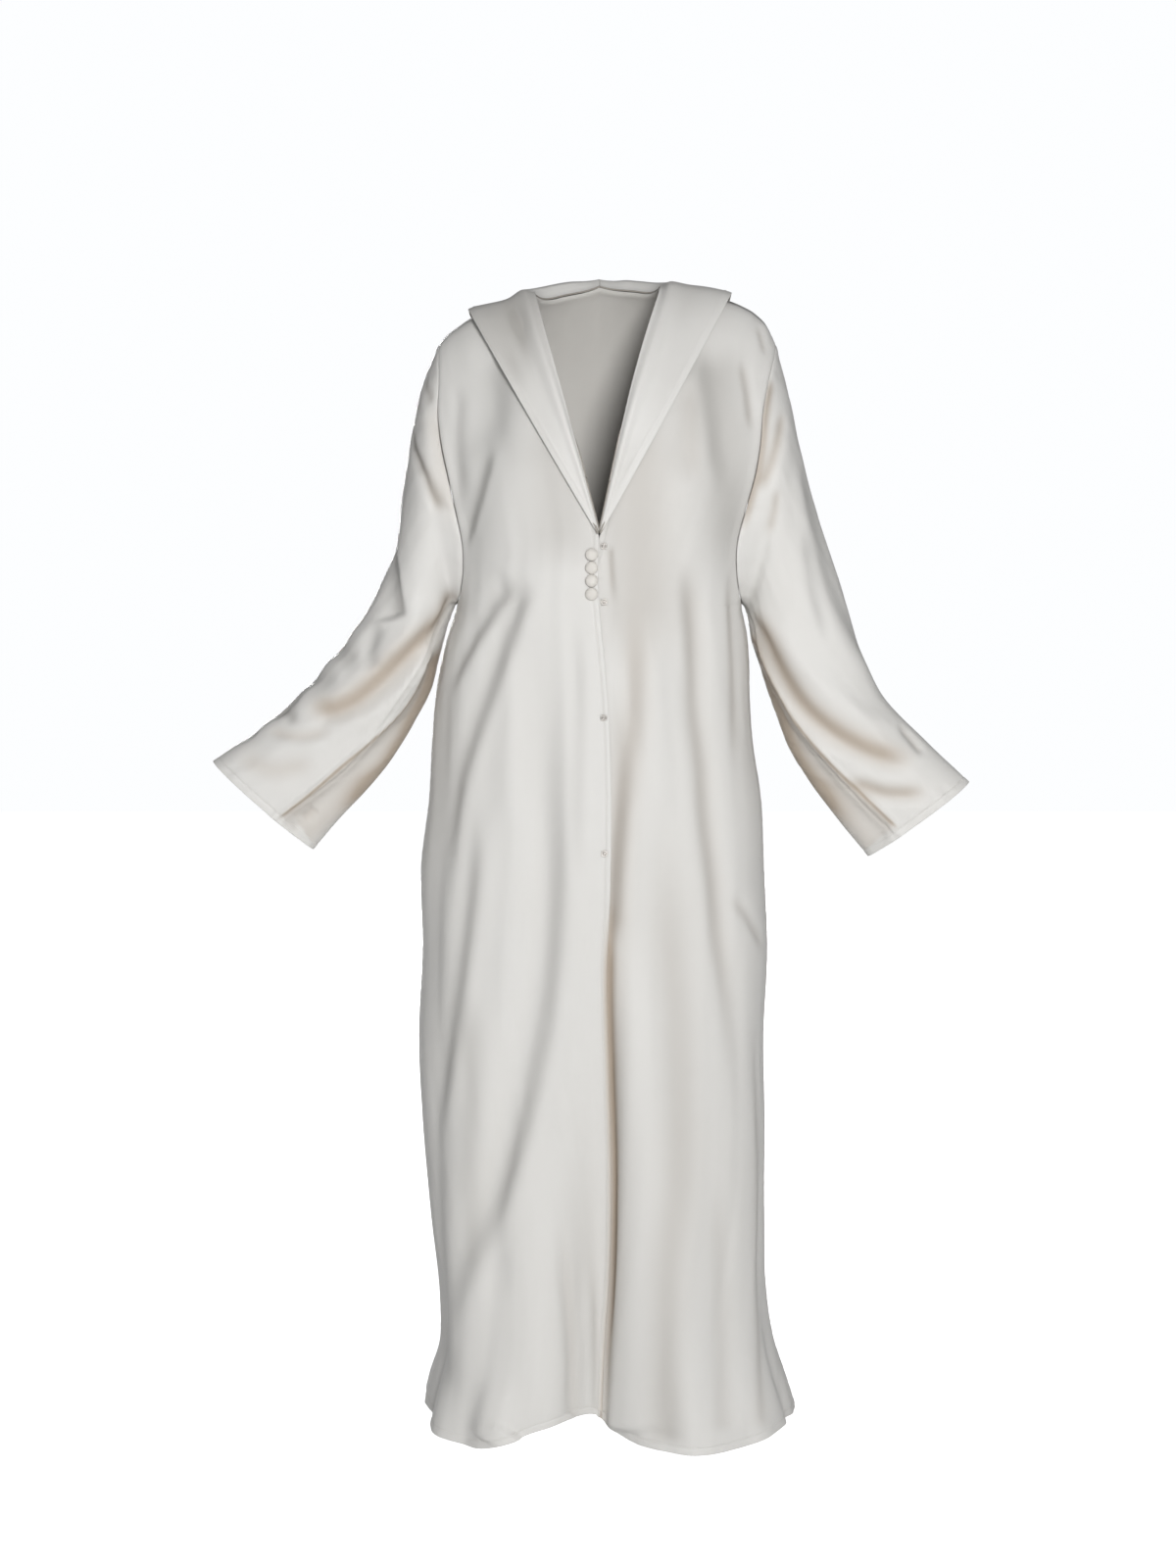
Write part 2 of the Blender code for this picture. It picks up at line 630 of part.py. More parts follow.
def add_wall(name, outer, inner, closed, colour):
    """A closed cloth wall between an outer and an inner grid of points."""
    rows, columns = outer.shape[:2]
    work = bmesh.new()
    skins = []
    for surface in (outer, inner):
        skins.append([[work.verts.new(point) for point in line] for line in surface])
    spans = columns if closed else columns - 1
    for skin, flip in zip(skins, (False, True)):
        for row in range(rows - 1):
            for column in range(spans):
                after = (column + 1) % columns
                corners = [
                    skin[row][column], skin[row + 1][column],
                    skin[row + 1][after], skin[row][after],
                ]
                work.faces.new(corners[::-1] if flip else corners)
    boundary = [edge for edge in work.edges if edge.is_boundary]
    pairs = {}
    for outside, inside in zip(skins[0], skins[1]):
        for one, other in zip(outside, inside):
            pairs[one] = other
    for edge in boundary:
        first, second = edge.verts
        if first in pairs and second in pairs:
            work.faces.new((first, second, pairs[second], pairs[first]))
    bmesh.ops.recalc_face_normals(work, faces=work.faces)
    bmesh.ops.triangulate(work, faces=work.faces)
    return finish(name, work, colour, 0.45, 0.0)


def finish(name, work, colour, roughness, metallic):
    mesh = bpy.data.meshes.new(name)
    work.to_mesh(mesh)
    work.free()
    material = bpy.data.materials.new(name)
    material.use_nodes = True
    shader = material.node_tree.nodes["Principled BSDF"]
    shader.inputs["Base Color"].default_value = (*colour, 1.0)
    shader.inputs["Roughness"].default_value = roughness
    shader.inputs["Metallic"].default_value = metallic
    mesh.materials.append(material)
    mesh.shade_smooth()
    mesh.set_sharp_from_angle(angle=math.radians(40))
    piece = bpy.data.objects.new(name, mesh)
    bpy.context.scene.collection.objects.link(piece)
    return piece


def collar_half(side):
    """Half the shawl collar: stations from the V over the shoulder to the centre back."""
    stations_front = NECK_COLUMNS * COLLAR_STEPS
    x, levels = neck_curve(side, V_POINT_Z, NECKLINE[0].level, stations_front)
    drops = np.maximum(ridge(x) - levels, 0.0)
    drops[-1] = 0.0
    corner = COLLAR_CORNER[side]
    tip_share = COLLAR_TIP / COLLAR_STEPS
    share = np.linspace(0, 1, stations_front + 1)
    share[0] = tip_share
    x[0] = x[0] + (x[1] - x[0]) * COLLAR_TIP
    drops[0] = drops[0] + (drops[1] - drops[0]) * COLLAR_TIP
    v_x = side * follow(NECKLINE, "left" if side == LEFT else "right", V_POINT_Z)
    v_drop = float(ridge(v_x)) - V_POINT_Z
    out_x = v_x + (side * corner - v_x) * share
    corner_z = float(ridge(np.array(side * corner)))
    out_drop = ridge(out_x) - (V_POINT_Z + (corner_z - V_POINT_Z) * share)
    out_drop[-1] = 0.0
    front = (x, drops, out_x, out_drop)

    back_x, back_drops = back_neck_curve(side, stations_front)
    turn = np.linspace(0, math.pi / 2, stations_front + 1)
    far_x = side * corner * np.cos(turn)
    far_drop = ridge(far_x) - corner_z + (corner_z + COLLAR_FALL) * np.sin(turn)
    far_drop[0] = 0.0
    back_x[-1] = side * GAP / 2
    far_x[-1] = side * GAP / 2
    back = (back_x, back_drops, far_x, far_drop)

    rows = []
    for half, is_back in ((front, False), (back, True)):
        start = 1 if is_back else 0
        for index in range(start, stations_front + 1):
            near_x, near_drop, edge_x, edge_drop = (float(part[index]) for part in half)
            place = (0.5 if is_back else 0.0) + 0.5 * index / stations_front
            stand = float(follow(COLLAR_ROLL, "stand", place))
            outer = float(follow(COLLAR_ROLL, "outer", place))
            line = []
            for across in SPREAD:
                at_x = near_x + (edge_x - near_x) * across
                at_drop = near_drop + (edge_drop - near_drop) * across
                bump = stand * math.exp(-((across - STAND_AT) / STAND_AT) ** 2) * ease(0, STAND_AT, across)
                settle = COLLAR_LIFT * ease(0, SPREAD[1], across) + COLLAR_SEAT
                line.append((at_x, at_drop, settle + bump + outer * across ** 2))
            rows.append((line, is_back))
    return rows


def chart_point(x, drop, back):
    level = float(ridge(np.array(x))) - drop
    angle = float(angle_of(np.array(x), level, back))
    return body_point(angle, level, drop)


def lay_on_body(rows):
    """Turn collar rows of x, drop and lift into points lifted off the body."""
    base = np.array([[chart_point(x, drop, back) for x, drop, lift in line] for line, back in rows])
    lifts = np.array([[lift for x, drop, lift in line] for line, back in rows])
    normals = grid_normals(base, False, lambda p: np.array((p[0], p[1], 0.05)))
    return base + normals * lifts[..., None], normals


def seat_y(x, level, radius, lapped):
    """The furthest forward that the cloth comes under a small round piece."""
    reach = []
    for across in (-radius, 0.0, radius):
        for height in (level - radius, level, level + radius):
            at = x + across
            angle = float(angle_of(np.array(at), height))
            y = float(body_point(angle, height, float(ridge(np.array(at))) - height)[1])
            reach.append(y + (float(lap_recess(at, height)) if lapped else 0.0))
    return min(reach)


def add_turned(name, profile, turns, colour, roughness, metallic, place, tilt):
    """A body turned about its own axis, laid with that axis pointing forwards."""
    work = bmesh.new()
    chain = [work.verts.new((radius, 0.0, height)) for radius, height in profile]
    edges = [work.edges.new(pair) for pair in zip(chain, chain[1:])]
    bmesh.ops.spin(
        work, geom=chain + edges, cent=(0, 0, 0), axis=(0, 0, 1), angle=math.tau,
        steps=turns, use_merge=True, use_duplicate=False
    )
    bmesh.ops.remove_doubles(work, verts=work.verts, dist=0.00001)
    bmesh.ops.recalc_face_normals(work, faces=work.faces)
    bmesh.ops.triangulate(work, faces=work.faces)
    piece = finish(name, work, colour, roughness, metallic)
    lean = Matrix.Rotation(math.radians(tilt), 4, "Y")
    forwards = Matrix.Rotation(math.radians(90), 4, "X")
    piece.matrix_world = Matrix.Translation(Vector(place)) @ lean @ forwards
    return piece


def add_button(index, level, tilt):
    """A domed, cloth-covered button with a flat back."""
    profile = [(0.0, 0.0), (BUTTON_RADIUS * 0.9, 0.0), (BUTTON_RADIUS, BUTTON_HEIGHT * 0.25)]
    for step in range(1, 5):
        turn = math.pi / 2 * step / 4
        rise = BUTTON_HEIGHT * (0.25 + 0.75 * math.sin(turn))
        profile.append((BUTTON_RADIUS * math.cos(turn), rise))
    profile[-1] = (0.0, BUTTON_HEIGHT)
    seat = seat_y(BUTTON_X, level, BUTTON_RADIUS, False)
    place = (BUTTON_X, seat - GAP, level)
    add_turned("button_%d" % index, profile, 14, BUTTON_COLOUR, 0.5, 0.0, place, tilt)


def add_stud(index, stud):
    """A press stud's cap: a low disc with a raised middle."""
    profile = (
        (0.0, 0.0),
        (STUD_RADIUS, 0.0),
        (STUD_RADIUS, STUD_HEIGHT * 0.45),
        (STUD_RADIUS * 0.5, STUD_HEIGHT * 0.6),
        (STUD_RADIUS * 0.4, STUD_HEIGHT),
        (0.0, STUD_HEIGHT),
    )
    seat = seat_y(stud.x, stud.level, STUD_RADIUS, stud.side == LEFT)
    place = (stud.x, seat - GAP - stud.clear, stud.level)
    add_turned("snap_%d" % index, profile, 12, STUD_COLOUR, 0.25, 0.6, place, stud.tilt)


def away_from_middle(point):
    return np.array((point[0], point[1] - 0.02, 0.0))


def main():
    for old in list(bpy.data.objects):
        bpy.data.objects.remove(old, do_unlink=True)

    right_back = back_half(RIGHT)
    left_back = back_half(LEFT)
    whole_back = np.concatenate((left_back[:, ::-1], right_back[:, 1:]), axis=1)
    front_right = front_half(RIGHT, False)
    front_left = front_half(LEFT, True)
    armhole = slice(TOP_ROWS, None, -1)
    sleeves = {}
    for side, front, back, rings in (
        (RIGHT, front_right, right_back, SLEEVE_RIGHT),
        (LEFT, front_left, left_back, SLEEVE_LEFT),
    ):
        sleeves[side] = sleeve_rows(rings, front[armhole, -1], back[armhole, -1])

    pieces = [
        Piece("front_right", front_right, "body", False, away_from_middle),
        Piece("front_left", front_left, "body", False, away_from_middle),
        Piece("back", whole_back, "body", False, away_from_middle),
        Piece("sleeve_right", sleeves[RIGHT], "sleeve", True, lambda p: np.array((0, p[1], 0))),
        Piece("sleeve_left", sleeves[LEFT], "sleeve", True, lambda p: np.array((0, p[1], 0))),
    ]
    part_at_seams(pieces)
    for piece in pieces:
        inner = piece.grid - piece.normals * CLOTH
        add_wall(piece.name, piece.grid, inner, piece.closed, CLOTH_COLOUR)

    for name, side in (("collar_right", RIGHT), ("collar_left", LEFT)):
        under, normals = lay_on_body(collar_half(side))
        add_wall(name, under + normals * CLOTH, under, False, COLLAR_COLOUR)
    for index, (level, tilt) in enumerate(zip(BUTTON_LEVELS, BUTTON_TILTS), 1):
        add_button(index, level, tilt)
    for index, stud in enumerate(STUDS, 1):
        add_stud(index, stud)


main()
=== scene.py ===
import math
from collections import namedtuple

import bmesh
import bpy
import numpy as np
from mathutils import Matrix, Vector


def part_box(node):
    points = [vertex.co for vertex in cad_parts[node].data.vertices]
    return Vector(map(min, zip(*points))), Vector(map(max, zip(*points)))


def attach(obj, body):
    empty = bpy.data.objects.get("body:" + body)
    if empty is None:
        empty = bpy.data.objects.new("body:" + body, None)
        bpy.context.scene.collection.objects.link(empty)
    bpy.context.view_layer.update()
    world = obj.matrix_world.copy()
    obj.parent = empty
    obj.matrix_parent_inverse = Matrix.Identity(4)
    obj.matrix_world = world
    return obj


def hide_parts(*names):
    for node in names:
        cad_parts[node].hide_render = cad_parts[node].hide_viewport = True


# An abaya cloak of champagne satin, worn and hollow. Metres, +Z up, the wearer faces -Y.
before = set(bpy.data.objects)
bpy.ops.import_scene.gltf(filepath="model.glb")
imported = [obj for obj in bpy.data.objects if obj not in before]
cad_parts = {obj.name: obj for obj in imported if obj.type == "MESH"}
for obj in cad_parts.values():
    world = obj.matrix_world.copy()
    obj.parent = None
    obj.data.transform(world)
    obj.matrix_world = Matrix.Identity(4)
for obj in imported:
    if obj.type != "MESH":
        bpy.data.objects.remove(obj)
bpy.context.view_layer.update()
print("frame loaded:", len(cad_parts), "nodes")

right = -1  # the wearer's right side lies at -X
left = 1


def tableOf(fields, *rows):
    row = namedtuple("row", fields)
    return tuple(row(*values) for values in rows)


form = {
    "underarm": -0.370,    # level where the armholes end and the side seams start
    "vPoint": -0.289,      # level where the V neckline closes
    "lapTop": -0.345,      # top of the left front's hidden margin
    "frontRoll": 0.25,     # drop over which the chest rounds up to the shoulder
    "backRoll": 0.13,
    "lap": 0.014,          # the left front runs this far under the right one
    "lapRecess": 0.0030,
    "lapNear": 0.003,
    "lapFar": 0.030,
    "skirt": 0.975,        # from the underarm to the hem
    "foldLength": 1.36,    # folds are placed along this much of the height
    "ridgeBlend": 0.03,    # the two shoulder lines join over this much of the nape
    "edgeGuess": 0.05,     # where the search for a row's ends starts
    "seamGuess": 0.18,
    "edgeSearch": 16,      # and how often it repeats
    "foldRadius": 0.2,     # turns an angle between folds into a length
    "napeBow": 0.8,
    "crowding": 1.35,      # rows stand closer together towards the underarm
}

sections = tableOf(
    "level right left front back middle square",
    (0.06, 0.235, 0.245, 0.092, 0.092, 0, 2.4),
    (-0.05, 0.235, 0.245, 0.106, 0.098, 0, 2.4),
    (-0.12, 0.23, 0.238, 0.115, 0.107, 0, 2.4),
    (-0.2, 0.214, 0.22, 0.121, 0.112, 0, 2.4),
    (-0.28, 0.187, 0.188, 0.125, 0.113, 0, 2.4),
    (-0.34, 0.169, 0.169, 0.127, 0.112, 0, 2.4),
    (-0.37, 0.1665, 0.1655, 0.127, 0.111, 0, 2.4),
    (-0.405, 0.177, 0.172, 0.127, 0.112, 0.001, 2.4),
    (-0.44, 0.1858, 0.175, 0.127, 0.113, 0.002, 2.4),
    (-0.469, 0.1912, 0.1755, 0.127, 0.115, 0.002, 2.4),
    (-0.53, 0.197, 0.1795, 0.128, 0.119, 0.004, 2.4),
    (-0.6, 0.201, 0.19, 0.129, 0.124, 0.006, 2.4),
    (-0.68, 0.211, 0.194, 0.131, 0.131, 0.009, 2.5),
    (-0.78, 0.21, 0.199, 0.133, 0.137, 0.012, 2.5),
    (-0.88, 0.215, 0.195, 0.134, 0.142, 0.015, 2.6),
    (-0.987, 0.211, 0.197, 0.135, 0.147, 0.018, 2.7),
    (-1.094, 0.202, 0.197, 0.137, 0.153, 0.021, 2.8),
    (-1.202, 0.192, 0.201, 0.139, 0.162, 0.026, 2.9),
    (-1.262, 0.193, 0.211, 0.141, 0.169, 0.03, 3),
    (-1.311, 0.206, 0.227, 0.143, 0.177, 0.035, 3),
    (-1.36, 0.218, 0.242, 0.145, 0.184, 0.038, 3),
)

# the shoulder line from the neck out to the sleeve head
ridgeLine = tableOf(
    "out right left",
    (0, 0.03, 0.032),
    (0.04, 0.013, 0.016),
    (0.07, -0.008, -0.004),
    (0.1, -0.019, -0.005),
    (0.13, -0.03, -0.011),
    (0.15, -0.038, -0.018),
    (0.165, -0.048, -0.024),
    (0.183, -0.063, -0.035),
    (0.195, -0.082, -0.048),
    (0.207, -0.11, -0.076),
    (0.22, -0.15, -0.13),
)

# the V neckline, as distance from the middle
neckline = tableOf(
    "level right left",
    (-0.006, 0.076, 0.069),
    (-0.05, 0.064, 0.0545),
    (-0.11, 0.0475, 0.0375),
    (-0.17, 0.0315, 0.0235),
    (-0.23, 0.0155, 0.011),
    (-0.289, 0.0015, -0.001),
    (-0.345, -0.012, -0.0155),
)

# the closing edge of the right front, as x
closing = tableOf(
    "level x",
    (-0.28, -0.0015),
    (-0.37, -0.001),
    (-0.42, 0.004),
    (-0.48, 0.009),
    (-0.54, 0.0118),
    (-0.7, 0.0115),
    (-0.8, 0.008),
    (-0.9, 0.0105),
    (-1.05, 0.0145),
    (-1.16, 0.013),
    (-1.26, 0.007),
    (-1.36, 0.003),
)

# distance of the armhole seams from the middle
armhole = tableOf(
    "level right left backRight backLeft",
    (-0.06, 0.188, 0.206, 0.188, 0.206),
    (-0.08, 0.1875, 0.203, 0.1885, 0.2035),
    (-0.112, 0.1865, 0.1945, 0.187, 0.196),
    (-0.15, 0.187, 0.1872, 0.1855, 0.189),
    (-0.186, 0.1825, 0.184, 0.183, 0.1855),
    (-0.221, 0.175, 0.178, 0.179, 0.181),
    (-0.26, 0.1665, 0.1675, 0.1735, 0.1745),
    (-0.3, 0.159, 0.158, 0.168, 0.168),
    (-0.335, 0.159, 0.1585, 0.165, 0.1645),
    (-0.36, 0.163, 0.1625, 0.165, 0.1645),
)

# lowest edge by angle, from the centre front towards the wearer's left
hemLine = tableOf(
    "angle level",
    (-180, -1.35),
    (-130, -1.346),
    (-95, -1.332),
    (-62, -1.346),
    (-40, -1.348),
    (-28, -1.337),
    (-14, -1.319),
    (-3, -1.318),
    (7, -1.34),
    (18, -1.348),
    (45, -1.348),
    (68, -1.339),
    (95, -1.346),
    (140, -1.353),
    (180, -1.35),
)

# the largest folds, by angle at the top and the hem
folds = tableOf(
    "start full top hem narrow wide depth",
    (-0.74, -1.32, 1, 0, 0.034, 0.05, -0.058),
    (-0.8, -1.28, -24, -27, 0.034, 0.04, 0.012),
    (-0.72, -1.25, 24, 26, 0.034, 0.042, 0.011),
    (-0.55, -1.1, -12, -50, 0.02, 0.026, -0.007),
    (-1.1, -1.34, -78, -80, 0.018, 0.02, -0.01),
    (-1.12, -1.34, 76, 79, 0.018, 0.02, -0.01),
    (-0.5, -1.2, 126, 120, 0.03, 0.036, -0.016),
    (-0.4, -1.15, 146, 142, 0.028, 0.036, 0.017),
    (-0.45, -1.25, 161, 160, 0.024, 0.032, -0.019),
    (-0.36, -1.2, 176, 179, 0.03, 0.04, 0.015),
    (-0.48, -1.15, 194, 199, 0.024, 0.034, -0.02),
    (-0.42, -1.2, 212, 218, 0.026, 0.036, 0.018),
    (-0.55, -1.25, 233, 240, 0.03, 0.036, -0.015),
)

# sleeve sections: the points furthest up and down the arm's side, the depth's middle, how far
# front and back stand from it, and how high the seam lies between the lowest (-1) and the top (1)
ringFields = "topX topZ lowX lowZ middle front back seam"
sleeveRings = {
    right: tableOf(
        ringFields,
        (-0.208, -0.122, -0.171, -0.377, 0.002, 0.075, 0.07, -0.97),
        (-0.221, -0.182, -0.1785, -0.397, 0.001, 0.068, 0.066, -0.92),
        (-0.231, -0.245, -0.1868, -0.43, 0, 0.06, 0.061, -0.8),
        (-0.243, -0.308, -0.1965, -0.472, -0.002, 0.053, 0.055, -0.6),
        (-0.27, -0.375, -0.219, -0.515, -0.004, 0.048, 0.05, -0.48),
        (-0.306, -0.422, -0.246, -0.557, -0.006, 0.045, 0.047, -0.48),
        (-0.349, -0.472, -0.274, -0.59, -0.008, 0.042, 0.044, -0.5),
        (-0.4, -0.517, -0.305, -0.622, -0.01, 0.039, 0.041, -0.42),
        (-0.454, -0.555, -0.337, -0.659, -0.012, 0.035, 0.037, -0.3),
    ),
    left: tableOf(
        ringFields,
        (0.22, -0.128, 0.1705, -0.377, 0.002, 0.075, 0.07, -0.98),
        (0.2325, -0.185, 0.175, -0.396, 0.001, 0.069, 0.067, -0.95),
        (0.248, -0.24, 0.1785, -0.424, 0, 0.062, 0.063, -0.93),
        (0.265, -0.295, 0.188, -0.46, -0.002, 0.056, 0.057, -0.9),
        (0.2845, -0.352, 0.2045, -0.501, -0.004, 0.051, 0.052, -0.83),
        (0.305, -0.414, 0.222, -0.542, -0.006, 0.047, 0.048, -0.7),
        (0.332, -0.478, 0.246, -0.58, -0.008, 0.044, 0.045, -0.58),
        (0.384, -0.532, 0.28, -0.624, -0.01, 0.04, 0.042, -0.53),
        (0.434, -0.579, 0.316, -0.667, -0.012, 0.036, 0.038, -0.46),
    ),
}


def smooth(places, values, at):
    # a smooth curve through values at rising places
    slopes = np.gradient(values, places, axis=0)
    at = np.clip(np.asarray(at, float), places[0], places[-1])
    low = np.clip(np.searchsorted(places, at) - 1, 0, len(places) - 2)
    step = places[low + 1] - places[low]
    part = (at - places[low]) / step
    if values.ndim > 1:
        step = step.reshape(step.shape + (1,) * (values.ndim - 1))
        part = part.reshape(step.shape)
    square = part * part
    cube = square * part
    return (
        (2 * cube - 3 * square + 1) * values[low]
        + (cube - 2 * square + part) * step * slopes[low]
        + (3 * square - 2 * cube) * values[low + 1]
        + (cube - square) * step * slopes[low + 1]
    )


def follow(table, column, at):
    places = np.array([row[0] for row in table], float)
    values = np.array([getattr(row, column) for row in table], float)
    order = np.argsort(places)
    return smooth(places[order], values[order], at)


def ease(low, high, value):
    part = np.clip((value - low) / (high - low), 0.0, 1.0)
    return part * part * (3 - 2 * part)


def lengthsAlong(line):
    steps = np.linalg.norm(np.diff(line, axis=0), axis=1)
    return np.concatenate(([0.0], np.cumsum(steps)))


def bump(distance, width):
    return np.exp(-(distance / width) ** 2)


def uneven(run, size, seed):
    # a soft irregular wave between about -1 and 1
    turn = 2 * math.pi * run / size
    return (
        0.5 * np.sin(turn + seed * 1.7)
        + 0.3 * np.sin(turn * 1.618 + seed * 2.9)
        + 0.2 * np.sin(turn * 0.4142 + seed * 5.3)
    )


def sideName(side):
    return "left" if side == left else "right"


def halfWidth(x, level):
    return np.where(x > 0, follow(sections, "left", level), follow(sections, "right", level))


def ridge(x):
    out = np.abs(x)
    share = ease(-form["ridgeBlend"], form["ridgeBlend"], x)
    return follow(ridgeLine, "right", out) * (1 - share) + follow(ridgeLine, "left", out) * share


def foldOffset(angle, level):
    total = np.zeros(np.shape(angle))
    for fold in folds:
        way = np.clip((fold.start - level) / (fold.start + form["foldLength"]), 0.0, 1.0)
        centre = np.radians(fold.top + (fold.hem - fold.top) * way)
        turn = np.angle(np.exp(1j * (angle - centre)))
        spreadAt = fold.narrow + (fold.wide - fold.narrow) * way
        depth = fold.depth * ease(fold.start, fold.full, level)
        total = total + depth * bump(turn * form["foldRadius"], spreadAt)
    return total


def bodyPoint(angle, level, drop=None):
    # with a drop, the height is measured from the shoulder line
    sine = np.sin(angle)
    x = halfWidth(sine, level) * sine
    square = follow(sections, "square", level)
    bow = (1 - np.minimum(np.abs(sine), 1.0) ** square) ** (1 / square)
    middle = follow(sections, "middle", level)
    isFront = np.cos(angle) > 0
    depth = np.where(isFront, -follow(sections, "front", level), follow(sections, "back", level))
    z = level
    roundOver = 1.0
    if drop is not None:
        z = ridge(x) - drop
        rolled = np.clip(drop / np.where(isFront, form["frontRoll"], form["backRoll"]), 0.0, 1.0)
        roundOver = np.sqrt(1 - (1 - rolled) ** 2)
    y = middle + (depth - middle) * bow * roundOver
    out = foldOffset(angle, level)
    across, deep = x + out * sine, y - out * np.cos(angle)
    return np.stack(np.broadcast_arrays(across, deep, z + 0.0 * x), axis=-1)


def angleOf(x, level, back):
    turn = np.arcsin(np.clip(x / halfWidth(x, level), -1.0, 1.0))
    return np.where(back, math.pi - turn, turn)


def neckX(side, level):
    return side * follow(neckline, sideName(side), level)


def backNeckDrop(x):
    start = np.where(x > 0, neckline[0].left, neckline[0].right)
    share = np.clip(np.abs(x) / start, 0.0, 1.0)
    return float(ridge(np.array(0.0))) * (1 - share ** 2) ** form["napeBow"]


def frontEdgeX(side, level):
    bottom, under = (form["vPoint"], 0.0) if side == right else (form["lapTop"], form["lap"])
    return neckX(side, level) if level > bottom else follow(closing, "x", level) - under


def armholeX(side, back, level):
    column = ("back" + sideName(side).capitalize()) if back else sideName(side)
    lowest = armhole[-1].level
    out = follow(armhole, column, max(level, lowest))
    if level < lowest:
        share = (lowest - level) / (lowest - form["underarm"])
        out = out + (follow(sections, sideName(side), form["underarm"]) - out) * share
    return side * out


def levelAt(x, share, back):
    # rows run from the shoulder line (0) to the underarm (1)
    top = ridge(x) - (backNeckDrop(x) if back else 0.0)
    return top + (form["underarm"] - top) * share


def edgeAt(edge, share, back, start):
    x = start
    for _ in range(form["edgeSearch"]):
        x = float(edge(float(levelAt(np.array(x), share, back))))
    return x


def topLine(x, share, back):
    level = levelAt(x, share, back)
    return bodyPoint(angleOf(x, level, back), level, np.maximum(ridge(x) - level, 0.0))


def skirtLine(angle, share):
    degrees = (np.degrees(angle) + 180) % 360 - 180
    lowest = follow(hemLine, "level", degrees)
    return bodyPoint(angle, form["underarm"] + (lowest - form["underarm"]) * share)


def stepped(total, nearSteps, farSteps, count):
    # places along a length: close steps at both ends, even ones between
    even = np.linspace(nearSteps[-1], total - farSteps[-1], count)[1:-1]
    return np.concatenate((nearSteps, even, total - np.array(farSteps)[::-1]))


def placed(lineAt, start, end, nearSteps, farSteps, count):
    share = (1 - np.cos(np.linspace(0, math.pi, cloth["rowSamples"]))) / 2
    values = start + (end - start) * share
    run = lengthsAlong(lineAt(values))
    wanted = stepped(run[-1], nearSteps, farSteps, count)
    return lineAt(np.interp(wanted, run, values))


cloth = {
    "ply": 0.0008,             # one layer of satin
    "hemPly": 0.0017,          # the turned hem, two layers and the fold
    "hemDeep": 0.0105,
    "seamSteps": (0.0, 0.0011, 0.0026, 0.0050, 0.0085),
    "edgeSteps": (0.0, 0.0010, 0.0030, 0.0052, 0.0060, 0.0068, 0.0090, 0.0125),
    "hemSteps": (0.0, 0.0010, 0.0035, 0.0065, 0.0084, 0.0092, 0.0100, 0.0112, 0.0145),
    "topRows": 78,
    "skirtRows": 196,
    "frontColumns": 74,
    "backColumns": 136,
    "sleeveRows": 150,
    "rowSamples": 500,         # points tried along a line before its places are picked
    "ringSamples": 200,
    "armSamples": 700,
    "neckSamples": 300,
    "joinWithin": 0.00002,
}

# one edge of a panel: its x above the underarm, by level, and its angle below
panelEdge = namedtuple("panelEdge", "x start angle")


def panelPoints(first, last, back, near, far, count):
    rows = []
    for share in topShares():
        ends = [edgeAt(edge.x, share, back, edge.start) for edge in (first, last)]
        rows.append(placed(lambda x: topLine(x, share, back), *ends, near, far, count))
    for share in skirtShares():
        level = form["underarm"] - form["skirt"] * share
        ends = [edge.angle(level) for edge in (first, last)]
        rows.append(placed(lambda angle: skirtLine(angle, share), *ends, near, far, count))
    return np.array(rows)


def sideSeam(side, back):
    angle = math.pi - side * math.pi / 2 if back else side * math.pi / 2
    start = side * form["seamGuess"]
    return panelEdge(lambda level: armholeX(side, back, level), start, lambda level: angle)


def frontPoints(side):
    def edge(level):
        return frontEdgeX(side, level)

    def edgeAngle(level):
        return float(angleOf(np.array(edge(level)), level, False))

    steps = cloth["edgeSteps"], cloth["seamSteps"], cloth["frontColumns"]
    inner = panelEdge(edge, side * form["edgeGuess"], edgeAngle)
    return panelPoints(inner, sideSeam(side, False), False, *steps)


def topShares():
    return 1 - (1 - np.linspace(0, 1, cloth["topRows"] + 1)[:-1]) ** form["crowding"]


def skirtShares():
    return stepped(form["skirt"], (0.0,), cloth["hemSteps"], cloth["skirtRows"]) / form["skirt"]


def backPoints():
    steps = cloth["seamSteps"]
    return panelPoints(
        sideSeam(left, True), sideSeam(right, True), True, steps, steps, cloth["backColumns"]
    )


def lapBehind(points):
    # the left front's margin stands back behind the right front
    beyond = points[..., 0] - follow(closing, "x", points[..., 2])
    points[..., 1] += form["lapRecess"] * (1 - ease(form["lapNear"], form["lapFar"], beyond))
    return points


sleeve = {
    "swell": 0.10,       # how far the sleeve stands out at its seam, as a share of its depth
    "swellSpan": 0.16,
    "swellFrom": -0.9,   # where the seam lies lower than this, nothing swells
    "fullness": 0.12,    # fuller in its upper half
}


def pick(line, run, wanted):
    return np.stack([np.interp(wanted, run, line[:, axis]) for axis in range(3)], axis=1)


def resample(line, count):
    run = lengthsAlong(line)
    return pick(line, run, np.linspace(0, run[-1], count + 1))


